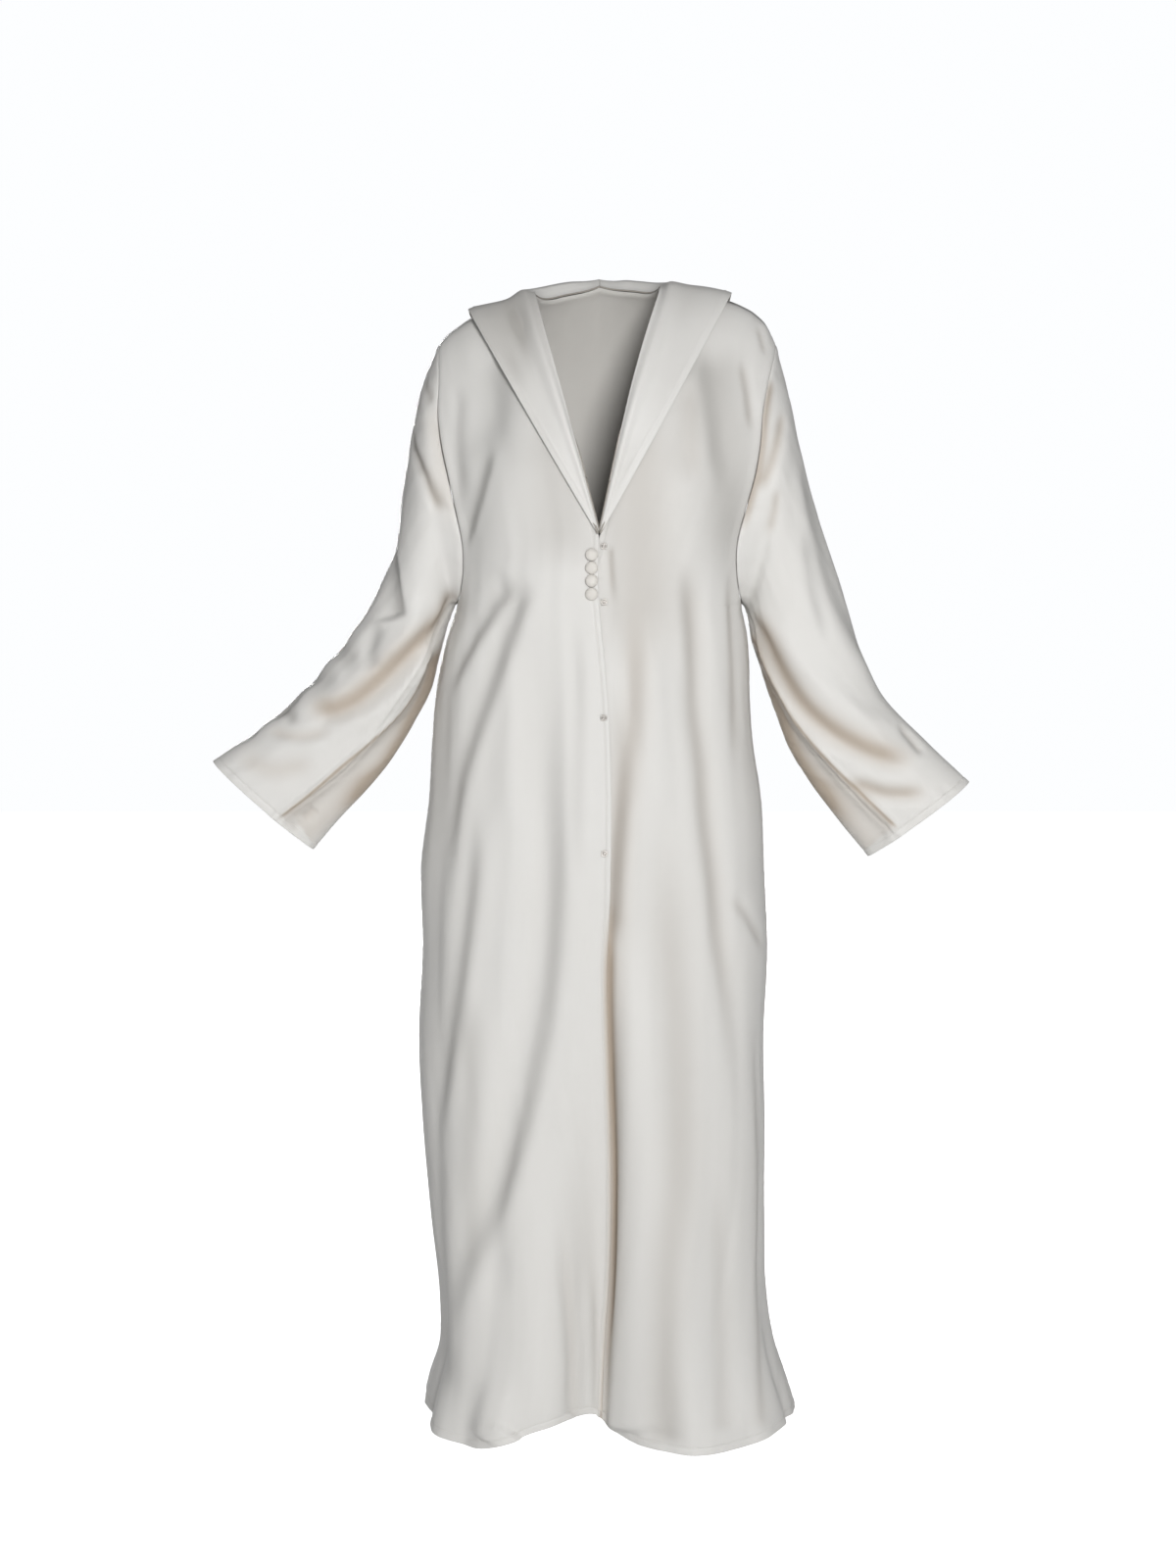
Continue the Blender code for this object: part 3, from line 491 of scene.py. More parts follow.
def sleeveSection(ring):
    # from the seam over the front to the top, and back below
    top = np.array((ring.topX, ring.middle, ring.topZ))
    low = np.array((ring.lowX, ring.middle, ring.lowZ))
    start = math.acos(ring.seam)
    over = np.linspace(start, 0, cloth["ringSamples"])
    under = np.linspace(0, start - 2 * math.pi, 2 * cloth["ringSamples"])[1:]
    turn = np.concatenate((over, under))
    height = np.cos(turn)
    depth = np.abs(np.sin(turn)) * (1 + sleeve["fullness"] * height)
    standsOut = ring.seam > sleeve["swellFrom"]
    swell = 1 + sleeve["swell"] * bump(height - ring.seam, sleeve["swellSpan"]) * standsOut
    y = np.where(np.sin(turn) > 0, -ring.front * depth * swell, ring.back * depth)
    loop = (top + low) / 2 + height[:, None] * (top - low) / 2 + y[:, None] * np.array((0, 1, 0))
    return loop[: len(over)], loop[len(over) - 1 :]


def sleevePoints(side, frontEdge, backEdge):
    # rows from the armhole to the cuff, columns round from the underarm; the last meets the first
    steps = cloth["topRows"]
    stations = [np.concatenate((frontEdge, backEdge[::-1][1:]))]
    for ring in sleeveRings[side]:
        front, back = sleeveSection(ring)
        stations.append(np.concatenate((resample(front, steps), resample(back, steps)[1:])))
    stations = np.array(stations)
    places = np.arange(len(stations), dtype=float)
    fine = smooth(places, stations, np.linspace(0, places[-1], cloth["armSamples"]))
    columns = []
    for column in range(fine.shape[1]):
        line = fine[:, column]
        run = lengthsAlong(line)
        wanted = stepped(run[-1], cloth["seamSteps"], cloth["hemSteps"], cloth["sleeveRows"])
        columns.append(pick(line, run, wanted))
    return np.stack(columns, axis=1)


creaseRow = namedtuple("creaseRow", "path depth tilt left right fadeIn fadeOut back dark warm")


def crease(
    line, depth, tilt, left, right, fadeIn=0.25, fadeOut=0.3, back=False, dark=None, warm=None
):
    # a soft trough (depth below 0) or ridge along a line on the cloth, given by x and z; left and
    # right are the half widths on its two sides, seen facing it with the line running down, and
    # tilt is how steeply the cloth rises to the right across it; lengths in millimetres
    # dark is how much painted shade it lays along its line, warm how brown that painted shade is
    path = np.reshape(line, (-1, 2)) / 1000
    lengths = depth / 1000, tilt, left / 1000, right / 1000
    return creaseRow(path, *lengths, fadeIn, fadeOut, back, dark, warm)


creases = {
    "front_right": (
        crease((-168, -390, -176, -571, -184, -752, -184, -935, -181, -1119, -172, -1300), 0, 0.26,
            20, 36, 0.2, 0.05),
        crease((-100, -60, -115, -149, -137, -215, -147, -281, -154, -360), -3, 0.05, 44, 44, 0.15,
            dark=0.62, warm=0),
        crease((-56, -150, -46, -240, -44, -340), 0, 0, 44, 45, dark=0.52, warm=0.2),
        crease((-116, -72, -114, -132, -121, -200), -3, 0.22, 20, 18, dark=0.1),
        crease((-160, -110, -162, -193, -158, -260), -1.6, 0.18, 10, 12),
        crease((-120, -182, -137, -245, -158, -312), -2, 0.52, 12, 7),
        crease((-94, -338, -131, -392, -153, -431, -172, -480), -1.6, 0.5, 16, 12, 0.15),
        crease((-76, -335, -95, -385, -114, -440, -135, -500, -153, -560, -165, -640, -172, -740),
            -2, 0.5, 18, 13, 0.1, 0.4),
        crease((-50, -360, -50, -480, -50, -571, -49, -684, -53, -763, -62, -843, -75, -912, -89,
            -970, -106, -1027, -128, -1085, -154, -1154, -180, -1260), -3, 0.6, 25, 20, 0.35, 0.25,
            dark=0.3),
        crease((-148, -800, -147, -880, -148, -960, -150, -1050, -153, -1180), 0, 0.08, 18, 18,
            0.2, 0.2, dark=0.4),
        crease((-137, -590, -145, -692, -160, -812, -172, -904, -188, -1010), -2, 0.48, 18, 15),
        crease((-44, -1060, -38, -1130, -32, -1200, -28, -1345), -2, 0.45, 10, 9, 0.4, 0.02,
            dark=0.34, warm=0.4),
        crease((-114, -1120, -119, -1240, -121, -1345), 3, -0.3, 30, 28, 0.3, 0.02, dark=0),
        crease((-90, -1000, -91, -1150, -92, -1345), -7, 0, 36, 36, 0.4, 0.02, dark=0),
        crease((-13, -1120, -12, -1230, -12, -1345), 4, 0, 10, 10, 0.4, 0.02, dark=0),
        crease((-26, -370, -23, -470, -25, -600, -22, -700), -0.8, 0.22, 10, 10),
        crease((-88, -400, -98, -520, -102, -640), 2, -0.15, 16, 16, dark=0),
    ),
    "front_left": (
        crease((118, -60, 138, -149, 146, -215, 150, -281, 152, -360), -3, 0, 46, 44, 0.15,
            dark=0.8, warm=0.1),
        crease((117, -66, 124, -127, 131, -176, 141, -250), -3, -0.24, 12, 18, dark=0.15,
            warm=0.1),
        crease((161, -85, 168, -127, 174, -175), -1.8, -0.35, 7, 8),
        crease((182, -48, 190, -85), -2, -0.3, 6, 6),
        crease((100, -105, 104, -170, 106, -240), -3, 0.12, 20, 14),
        crease((11, -300, 13, -330, 16, -370), -1, 0.4, 5, 5, 0.1, 0.5),
        crease((50, -120, 44, -230, 46, -340, 52, -460), 0, 0, 50, 50, dark=0.56, warm=0.35),
        crease((34, -350, 40, -437, 39, -493, 32, -549, 25, -616, 19, -684, 14, -760), -2, 0.42,
            15, 19, 0.25, 0.1, dark=0.36, warm=0.9),
        crease((18, -440, 20, -571, 17, -684, 16, -780), -1, 0.3, 9, 13),
        crease((95, -312, 104, -381, 106, -430, 107, -481, 116, -549, 121, -616, 130, -684, 136,
            -752, 146, -820, 154, -900, 163, -980), -6, -0.26, 14, 18, 0.1, 0.45, dark=0.5,
            warm=0.4),
        crease((80, -560, 78, -690, 84, -790, 91, -870, 93, -960, 91, -1040, 81, -1110, 77, -1200,
            75, -1345), -4.5, 0.16, 26, 28, 0.3, 0.02, dark=0.48, warm=0.3),
        crease((33, -760, 37, -969, 32, -1142, 22, -1345), 12.5, 0, 19, 45, 0.3, 0.02),
        crease((150, -700, 172, -735, 192, -775), -2, -0.2, 9, 10),
        crease((146, -320, 152, -440, 156, -560), -2, -0.25, 12, 14),
        crease((66, -400, 70, -500, 74, -640), 3, -0.15, 18, 18, dark=0),
        crease((176, -840, 184, -1000, 184, -1180, 190, -1340), -1, -0.25, 16, 14, 0.3, 0.05),
        crease((138, -1020, 140, -1120, 144, -1330), -2, -0.1, 18, 18, 0.3, 0.05),
    ),
    "back": (
        crease((118, -104, 124, -180, 136, -270, 150, -340), -3, -0.3, 14, 20, 0.2, dark=0.4),
        crease((-112, -98, -122, -190, -140, -290, -152, -350), -3, 0.3, 20, 14, 0.2, dark=0.42),
        crease((158, -300, 142, -370, 116, -450, 92, -560, 80, -700, 78, -860), -3, 0.5, 18, 16,
            0.1, 0.45, dark=0.55),
        crease((-156, -320, -134, -400, -106, -500, -90, -620, -84, -760), -3, -0.48, 15, 19, 0.1,
            0.45, dark=0.5),
        crease((166, -345, 158, -430, 136, -520, 124, -610), -2, 0.36, 12, 11, 0.15, 0.4,
            dark=0.4),
        crease((-164, -385, -150, -470, -128, -560, -122, -650), -2, -0.34, 11, 13, 0.15, 0.4,
            dark=0.36),
        crease((36, -400, 42, -560, 38, -740, 44, -940, 54, -1150, 60, -1345), -4.5, -0.36, 18, 24,
            0.35, 0.02, dark=0.48),
        crease((-48, -520, -42, -700, -52, -900, -66, -1110, -72, -1345), -4.5, 0.4, 24, 17, 0.35,
            0.02, dark=0.52),
        crease((128, -640, 130, -820, 142, -1040, 152, -1240, 156, -1345), -4, -0.34, 20, 22, 0.3,
            0.02, dark=0.44),
        crease((-124, -700, -132, -880, -140, -1070, -152, -1345), -4, 0.3, 22, 20, 0.35, 0.02,
            dark=0.4),
        crease((4, -260, -4, -420, 6, -640), 4, 0.1, 18, 22, dark=0),
        crease((-2, -760, -10, -1000, -6, -1345), 7, 0, 24, 30, 0.35, 0.02, dark=0),
        crease((100, -900, 104, -1120, 108, -1345), 6, 0, 18, 20, 0.4, 0.02, dark=0),
        crease((-104, -860, -108, -1100, -112, -1345), 5, 0, 18, 18, 0.4, 0.02, dark=0),
        crease((-40, -125, -34, -240, -44, -400, -34, -500), -2.5, -0.22, 16, 14, 0.2, 0.4,
            dark=0.3),
        crease((46, -128, 38, -230, 50, -370), -2.5, 0.22, 13, 17, 0.2, 0.4, dark=0.28),
        crease((-172, -470, -160, -540, -136, -610), -2, -0.2, 10, 10, dark=0.25),
        crease((172, -480, 152, -570, 122, -680), -2, 0.22, 10, 10, dark=0.28),
    ),
    "sleeve_right": (
        crease((-219, -168, -210, -199, -197, -227, -180, -266), -3.5, 0.42, 8, 10, 0.1, 0.18,
            dark=0.75, warm=0.5),
        crease((-192, -130, -180, -215, -170, -290), 0, 0, 16, 16, dark=0.25, warm=0.9),
        crease((-203, -105, -192, -142), -2, 0.3, 7, 7),
        crease((-231, -255, -237, -300, -235, -345, -228, -386), -4.5, 0.42, 24, 6, 0.45, 0.06,
            dark=0.62, warm=0.1),
        crease((-257, -386, -259, -402, -264, -420, -263, -450), -3.5, 0.25, 13, 12, 0.35,
            dark=0.38, warm=0.1),
        crease((-330, -402, -302, -424, -276, -442), -5.2, 0, 14, 15, 0, 0.5, dark=0.45, warm=0.1),
        crease((-358, -440, -332, -455, -300, -458), -4.2, 0, 13, 14, 0, 0.5, dark=0.35, warm=0.1),
        crease((-392, -476, -366, -482, -345, -480), -3.2, 0, 12, 12, 0, 0.5),
        crease((-425, -508, -400, -513), -3, 0, 8, 8, 0, 0.5),
        crease((-172, -348, -188, -387, -211, -411, -237, -436, -262, -460, -286, -479, -310, -489,
            -345, -484), -3, -0.48, 16, 17, 0.12, 0.15, dark=0.85, warm=1),
        crease((-205, -352, -224, -402, -262, -440), 4, 0, 14, 12),
        crease((-190, -400, -224, -458, -268, -498, -330, -520), 4, 0, 11, 13),
        crease((-192, -415, -224, -486, -253, -518, -298, -555, -344, -595, -378, -622), 1.2,
            -0.62, 3, 24, 0.1, 0.05, dark=0.35, warm=1),
        crease((-192, -416, -224, -487, -253, -519, -298, -556, -344, -596, -378, -623), -0.6, 0,
            1.8, 2.2, 0.1, 0.05, dark=0.8, warm=0.8),
        crease((-180, -440, -200, -492, -240, -556, -315, -620), -1, 0, 22, 20, 0, dark=1.2,
            warm=0.9),
        crease((-250, -556, -300, -606, -345, -640), 0, 0, 30, 20, 0.3, 0.02, dark=0.35, warm=0.9),
        crease((-384, -500, -372, -495, -361, -499, -357, -513), -2.6, 0, 8, 8, 0.1, dark=0.7,
            warm=0.1),
        crease((-390, -516, -355, -523, -305, -516), -3, 0, 8, 9, dark=0.3, warm=1),
        crease((-425, -545, -385, -562, -325, -552), -3, 0, 14, 16, dark=0.25, warm=1),
        crease((-330, -610, -345, -625), -3, 0, 6, 6),
        crease((-350, -625, -359, -636), -2.5, 0, 4, 5, 0.3, 0.1),
        crease((-206, -200, -190, -260, -178, -330), -3, 0.3, 10, 12, 0.15, back=True, dark=0.5),
        crease((-238, -290, -246, -350, -270, -410, -310, -452), -3.5, 0.26, 14, 12, 0.2,
            back=True, dark=0.4),
        crease((-184, -362, -208, -412, -244, -450, -292, -486, -340, -502), -3, -0.42, 13, 15,
            0.12, 0.25, back=True, dark=0.62),
        crease((-188, -412, -222, -478, -262, -524, -318, -566), -2.5, -0.34, 10, 14, 0.12, 0.25,
            back=True, dark=0.5),
        crease((-400, -512, -368, -540, -330, -556), -3, 0.16, 9, 10, 0.1, 0.4, back=True,
            dark=0.35),
    ),
    "sleeve_left": (
        crease((198, -108, 191, -141, 181, -204, 169, -253, 159, -291), -1.5, 0, 6, 7, 0.1, 0.2,
            dark=0.85, warm=0.8),
        crease((211, -146, 198, -200, 182, -242), -2.5, -0.1, 8, 8, 0.2, 0.2, dark=0.6, warm=0.8),
        crease((203, -232, 199, -262, 192, -294), -1.5, -0.1, 7, 7, dark=0.45, warm=0.7),
        crease((226, -200, 243, -275, 266, -360, 306, -435, 352, -499), 0.5, -0.3, 14, 30, 0.15,
            dark=0.42, warm=0),
        crease((235, -275, 250, -361, 267, -420), -3, 0, 8, 9, dark=0.45, warm=0),
        crease((176, -372, 196, -412, 214, -449, 239, -486, 278, -518, 321, -540, 376, -554), -3,
            0.48, 16, 16, 0.12, 0.18, dark=0.85, warm=1),
        crease((200, -378, 236, -440, 290, -490, 360, -524), 4.5, 0, 13, 13),
        crease((205, -480, 250, -530, 310, -560), 3, 0, 10, 12),
        crease((283, -572, 329, -587, 388, -588), -3.5, 0.26, 11, 11, dark=0.65, warm=0.9),
        crease((372, -538, 358, -522, 345, -508), -4, 0, 7, 7, 0, 0.5, dark=0.5, warm=0.3),
        crease((176, -404, 196, -452, 212, -482, 240, -520, 268, -553, 308, -592, 350, -632), 1.2,
            0.62, 24, 3, 0.1, 0.05, dark=0.35, warm=1),
        crease((176, -405, 196, -453, 212, -483, 240, -521, 268, -554, 308, -593, 350, -633), -0.6,
            0, 2.2, 1.8, 0.1, 0.05, dark=0.8, warm=0.8),
        crease((172, -425, 204, -509, 250, -584, 302, -640), -1, 0, 20, 22, 0, dark=1.2, warm=0.9),
        crease((240, -566, 280, -612, 318, -655), 0, 0, 20, 30, 0.3, 0.02, dark=0.35, warm=0.9),
        crease((204, -190, 192, -250, 180, -320), -3, -0.3, 12, 10, 0.15, back=True, dark=0.48),
        crease((236, -270, 248, -340, 272, -405, 316, -462), -3.5, -0.26, 12, 14, 0.2, back=True,
            dark=0.42),
        crease((182, -378, 204, -424, 236, -470, 284, -508, 336, -528), -3, 0.42, 15, 13, 0.12,
            0.25, back=True, dark=0.6),
        crease((186, -430, 216, -492, 256, -546, 300, -590), -2.5, 0.34, 14, 10, 0.12, 0.25,
            back=True, dark=0.48),
        crease((390, -545, 356, -566, 322, -580), -3, -0.16, 10, 9, 0.1, 0.4, back=True,
            dark=0.35),
    ),
}
# how brown each piece's painted crease shade is where a row doesn't say
creaseShadeWarmth = {
    "front_right": 0.10,
    "front_left": 0.50,
    "back": 0.30,
    "sleeve_right": 0.60,
    "sleeve_left": 0.60,
}
creaseShade = {         # what a crease's painted shade comes to when its row doesn't say
    "perDepth": 60,
    "perTilt": 0.7,
    "fullWidth": 0.032,     # wider ones are paler
    "reach": 0.8,
    "faceAside": 0.05,      # cloth turned further away than this isn't looked at
    "blur": 0.004,
}


def gridNormals(points, outward, isTube=False):
    if isTube:  # the first and last columns are the same seam
        ring = points[:, :-1]
        across = np.roll(ring, -1, axis=1) - np.roll(ring, 1, axis=1)
        across = np.concatenate((across, across[:, :1]), axis=1)
    else:
        across = np.gradient(points, axis=1)
    normals = np.cross(across, np.gradient(points, axis=0))
    normals /= np.maximum(np.linalg.norm(normals, axis=2, keepdims=True), 1e-12)
    return normals if (normals * outward(points)).sum() > 0 else -normals


def awayFromMiddle(points):
    return points * (1, 1, 0) - (0, 0.02, 0)


def acrossDepth(points):
    return points * (0, 1, 0) + (0, 0.008, 0)


def upAndOut(points):
    return points * (1, 1, 0) + (0, 0, 0.05)


def onCloth(points, usable, path):
    # points of the cloth that lie behind a path of x and z
    flat = points[usable]
    places = []
    for x, z in path:
        apart = (flat[:, 0] - x) ** 2 + (flat[:, 2] - z) ** 2
        weight = np.exp(-(apart - apart.min()) / (2 * creaseShade["blur"] ** 2))
        places.append((flat * weight[:, None]).sum(axis=0) / weight.sum())
    return np.array(places)


def smoothPath(path, count=26):
    path = np.array(path, float)
    run = lengthsAlong(path)
    return smooth(run, path, np.linspace(0, run[-1], count))


def nearestOn(points, line):
    shape = points.shape[:2]
    best = np.full(shape, 9.0)
    run = np.zeros(shape)
    gap = np.zeros(points.shape)
    way = np.zeros(points.shape)
    lengths = lengthsAlong(line)
    for first, second, before in zip(line, line[1:], lengths):
        step = second - first
        size = np.linalg.norm(step)
        along = np.clip(((points - first) @ step) / size ** 2, 0, 1)
        away = points - first - along[..., None] * step
        distance = np.linalg.norm(away, axis=-1)
        closer = distance < best
        best[closer] = distance[closer]
        run[closer] = (before + along[closer] * size) / lengths[-1]
        gap[closer] = away[closer]
        way[closer] = step / size
    return best, run, gap, way


def creaseField(points, normals, node):
    # how far the creases move the cloth, how much painted shade they lay on it and how warm that
    # painted shade is
    total, shade, warmth = (np.zeros(points.shape[:2]) for _ in range(3))
    aside = creaseShade["faceAside"]
    for row in creases[node]:
        isBack = row.back or node == "back"
        usable = (normals[..., 1] > aside) if isBack else (normals[..., 1] < -aside)
        line = onCloth(points, usable, smoothPath(row.path))
        distance, run, gap, way = nearestOn(points, line)
        isRight = (np.cross(way, gap) * normals).sum(axis=-1) > 0
        if isBack:
            isRight = ~isRight
        width = np.where(isRight, row.right, row.left)
        fade = 1 - ease(1 - row.fadeOut, 1, run)
        if row.fadeIn:
            fade = fade * ease(0, row.fadeIn, run)
        fall = bump(distance, width)
        rise = row.tilt * np.where(isRight, distance, -distance)
        total += (row.depth + rise) * fade * fall
        # painted shade: darker along the crease, by its row's dark or from its depth and tilt
        dark = row.dark
        if dark is None:
            narrow = min(1.0, creaseShade["fullWidth"] / (row.left + row.right))
            steep = creaseShade["perTilt"] * abs(row.tilt)
            dark = min((creaseShade["perDepth"] * max(-row.depth, 0.0) + steep) * narrow, 1.0)
        dark = dark * fade * bump(distance, creaseShade["reach"] * width)
        shade += dark
        warmth += dark * (creaseShadeWarmth[node] if row.warm is None else row.warm)
    return total, np.clip(shade, 0.0, 1.0), warmth / np.maximum(shade, 0.001)


def gridLengths(points):
    # how far each point is from the first column and from the first row
    across = np.linalg.norm(np.diff(points, axis=1), axis=2).cumsum(axis=1)
    across = np.concatenate((np.zeros((points.shape[0], 1)), across), axis=1)
    down = np.linalg.norm(np.diff(points, axis=0), axis=2).cumsum(axis=0)
    down = np.concatenate((np.zeros((1, points.shape[1])), down), axis=0)
    return across, down


drape = {
    "valley": -0.0080,       # the left front draws in sharply beside the closing, low down
    "valleyNear": 0.0040,
    "valleyFar": 0.0060,
    "valleyAt": 0.0010,
    "valleyTail": 0.0180,    # and more softly beyond
    "valleyFrom": -0.69,
    "valleyFull": -0.79,
    "valleyTailShare": 0.25,
    "valleyEases": 0.85,     # by this share near the hem
    "valleyEasesFrom": -1.10,
    "valleyEasesTo": -1.34,
    # how strong the painted shade in the valley is
    "valleyDark": 1.30,
    "edgeRoll": -0.0022,     # the right front's edge rolls in a little
    "edgeRollWide": 0.0045,
    # and how strong the painted shade on the right front's rolled edge is
    "edgeRollDark": 0.80,
    "ribs": 0.00050,         # faint upright ripples
    "ribSize": 0.034,
    "ribLean": 0.0225,
    "ribLeanSize": 0.9,
    "ribFadeSize": 0.5,
}


def closingValley(points, node):
    # how far the cloth beside the closing goes in, and how much painted shade lies there
    beyond = points[..., 0] - follow(closing, "x", points[..., 2])
    deep = ease(drape["valleyFrom"], drape["valleyFull"], points[..., 2])
    if node == "front_right":
        rolled = bump(beyond, drape["edgeRollWide"]) * deep
        return drape["edgeRoll"] * rolled, drape["edgeRollDark"] * rolled
    apart = beyond - drape["valleyAt"]
    sharp, soft = (
        bump(apart, np.where(apart < 0, drape["valleyNear"], drape[name])) * deep
        for name in ("valleyFar", "valleyTail")
    )
    hollow = (1 - drape["valleyTailShare"]) * sharp + drape["valleyTailShare"] * soft
    easing = ease(drape["valleyEasesFrom"], drape["valleyEasesTo"], points[..., 2])
    lower = 1 - drape["valleyEases"] * easing
    return drape["valley"] * hollow * lower, drape["valleyDark"] * hollow * lower


def ripples(across, down, seed):
    lean = drape["ribLean"] * uneven(down, drape["ribLeanSize"], seed)
    strength = 0.6 + 0.4 * uneven(down, drape["ribFadeSize"], seed + 2)
    return drape["ribs"] * strength * uneven(across + lean, drape["ribSize"], seed)


sewing = {
    "dip": 0.0010,         # how far the cloth rolls in at a seam
    "dipWidth": 0.0014,
    "pad": 0.00035,        # the pressed allowance beside it
    "padAt": 0.0070,
    "padWidth": 0.0030,
    "pucker": 0.00055,
    "puckerSize": 0.017,
    "puckerReach": 0.010,
    "groove": 0.00055,     # a row of topstitching
    "grooveWidth": 0.0008,
    "edgeStitch": 0.0060,
    "hemStitch": 0.0092,
    "hemWave": 0.0022,     # how far the lower edge swings in and out
    "hemWaveSize": 0.085,
    "hemWaveReach": 0.055,
    "calmTop": 0.012,      # folds fade out towards the seams over this much
    "calmSeam": 0.010,
    "calmHem": 0.03,
    "rowPucker": 0.6,      # a topstitched row puckers less than a seam, over longer stretches
    "rowPuckerSize": 1.3,
    "rowPad": 0.5,
}


def seamRelief(gap, run, seed):
    relief = -sewing["dip"] * bump(gap, sewing["dipWidth"])
    relief += sewing["pad"] * bump(gap - sewing["padAt"], sewing["padWidth"])
    pucker = uneven(run, sewing["puckerSize"], seed) * np.exp(-gap / sewing["puckerReach"])
    return relief + sewing["pucker"] * pucker * ease(0, 0.002, gap)


def stitchedRelief(gap, run, at, seed):
    relief = -sewing["groove"] * bump(gap - at, sewing["grooveWidth"])
    relief += sewing["rowPad"] * sewing["groove"] * bump(gap - at / 2, at / 3)
    size = sewing["puckerSize"] * sewing["rowPuckerSize"]
    pucker = uneven(run, size, seed) * bump(gap - at, at)
    return relief + sewing["rowPucker"] * sewing["pucker"] * pucker


def hemSwing(gap, run, seed):
    wave = uneven(run, sewing["hemWaveSize"], seed)
    return sewing["hemWave"] * wave * bump(gap, sewing["hemWaveReach"])


def objectFrom(work, name, materials):
    mesh = bpy.data.meshes.new(name)
    work.to_mesh(mesh)
    work.free()
    mesh.shade_smooth()
    for material in materials:
        mesh.materials.append(material)
    piece = bpy.data.objects.new(name, mesh)
    bpy.context.scene.collection.objects.link(piece)
    return piece


def clothObject(node, points, normals, isTube, plies, stitchesAndShade, materials):
    # a grid whose points are moved to their places, with a wall grown inwards from it
    rows, columns = points.shape[:2]
    work = bmesh.new()
    bmesh.ops.create_grid(work, x_segments=columns - 1, y_segments=rows - 1, size=1.0)
    work.verts.ensure_lookup_table()
    across, down = gridLengths(points)
    weave = work.loops.layers.uv.new("weave")
    layers = {name: work.verts.layers.float.new(name) for name in stitchesAndShade}
    ply = work.verts.layers.deform.verify()
    spot = {}
    for vert in work.verts:
        column = round((vert.co.x + 1) / 2 * (columns - 1))
        row = round((1 - vert.co.y) / 2 * (rows - 1))
        spot[vert.index] = (row, column)
        vert[ply][0] = float(plies[row, column])
        for name, values in stitchesAndShade.items():
            vert[layers[name]] = float(values[row, column])
    for face in work.faces:
        for loop in face.loops:
            row, column = spot[loop.vert.index]
            loop[weave].uv = (across[row, column], down[row, column])
    for vert in work.verts:
        vert.co = points[spot[vert.index]]
    work.normal_update()
    facing = sum(face.normal.dot(normals[spot[face.verts[0].index]]) for face in work.faces)
    if facing < 0:
        bmesh.ops.reverse_faces(work, faces=work.faces)
    if isTube:
        seam = [vert for vert in work.verts if spot[vert.index][1] in (0, columns - 1)]
        bmesh.ops.remove_doubles(work, verts=seam, dist=cloth["joinWithin"])
    piece = objectFrom(work, node + "_cloth", materials)
    piece.vertex_groups.new(name="ply")
    wall = piece.modifiers.new("wall", "SOLIDIFY")
    wall.thickness = cloth["hemPly"]
    wall.offset = -1
    wall.vertex_group = "ply"
    wall.thickness_vertex_group = 0
    wall.material_offset = 1
    # a collar's rim takes its second, dark material: a painted shadow line along its edge
    wall.material_offset_rim = 1 if node.startswith("collar") else 0
    return piece


print("form ready")

satin = {
    "colour": (0.664, 0.657, 0.640),
    "shade": (0.630, 0.615, 0.585),
    "dusk": (0.420, 0.415, 0.398),     # painted shade, grey, where the cloth turns from the light
    "fold": (0.420, 0.350, 0.280),     # painted shade, brown, down in the creases
    "inner": (0.560, 0.540, 0.505),
    "under": (0.340, 0.315, 0.280),    # painted shadow: a dark colour for the collar's underside and rim, seen only as a line at its edge
    "button": (0.640, 0.606, 0.552),
    "thread": (0.700, 0.684, 0.650),
    "roughness": 0.46,
    "specular": 0.35,
    "cloudBroad": 6.0,
    "cloudFine": 70.0,
    "cloudTone": 0.45,                 # how much of the way from colour to shade
    "weaveTone": 0.35,
    "cloudRelief": 0.0006,
}
weaving = {
    "floatLength": 0.0016,    # a thread lies on top for this long
    "threadWidth": 0.00032,
    "gapShare": 0.22,         # of a thread's width
    "stagger": 0.4,
    "high": (0.95, 0.95, 0.95),
    "low": (0.70, 0.70, 0.70),
    "gap": (0.0, 0.0, 0.0),
    "slubScale": (900.0, 22.0, 1.0),
    "slubTone": 0.7,
    "floatTone": 0.3,
    "relief": 0.00006,
}
stitching = {
    "length": 0.0030,
    "width": 0.00042,
    "relief": 0.0004,
    "hole": 0.09,             # part of a stitch at each end where the thread is down
}


def feed(tree, socket, value):
    # an output is linked to the socket, and a plain value is set on it
    if isinstance(value, bpy.types.NodeSocket):
        tree.links.new(value, socket)
    elif socket.type == "RGBA":
        socket.default_value = (*value, 1.0)
    else:
        socket.default_value = value


def addNode(tree, kind, sockets=None, **settings):
    node = tree.nodes.new("ShaderNode" + kind)
    for name, value in settings.items():
        setattr(node, name, value)
    for name, value in (sockets or {}).items():
        feed(tree, node.inputs[name], value)
    return node


def addMath(tree, operation, *terms):
    return addNode(tree, "Math", dict(enumerate(terms)), operation=operation).outputs[0]


def addMix(tree, factor, first, second):
    sockets = {"Factor": factor, "A": first, "B": second}
    return addNode(tree, "Mix", sockets, data_type="RGBA").outputs["Result"]


def addBump(tree, height, distance, strength, below=None):
    sockets = {"Distance": distance, "Strength": strength, "Height": height}
    if below is not None:
        sockets["Normal"] = below
    return addNode(tree, "Bump", sockets).outputs["Normal"]


def addAttribute(tree, name):
    return addNode(tree, "Attribute", attribute_name=name).outputs["Fac"]


def newGroup(name, inputs, outputs):
    # all sockets but Vector carry plain numbers
    group = bpy.data.node_groups.new(name, "ShaderNodeTree")
    group.interface.new_socket("Vector", in_out="INPUT", socket_type="NodeSocketVector")
    for label, value in inputs.items():
        socket = group.interface.new_socket(label, in_out="INPUT", socket_type="NodeSocketFloat")
        socket.default_value = value
    for label in outputs:
        group.interface.new_socket(label, in_out="OUTPUT", socket_type="NodeSocketFloat")
    source = group.nodes.new("NodeGroupInput").outputs
    return group, source, group.nodes.new("NodeGroupOutput").inputs


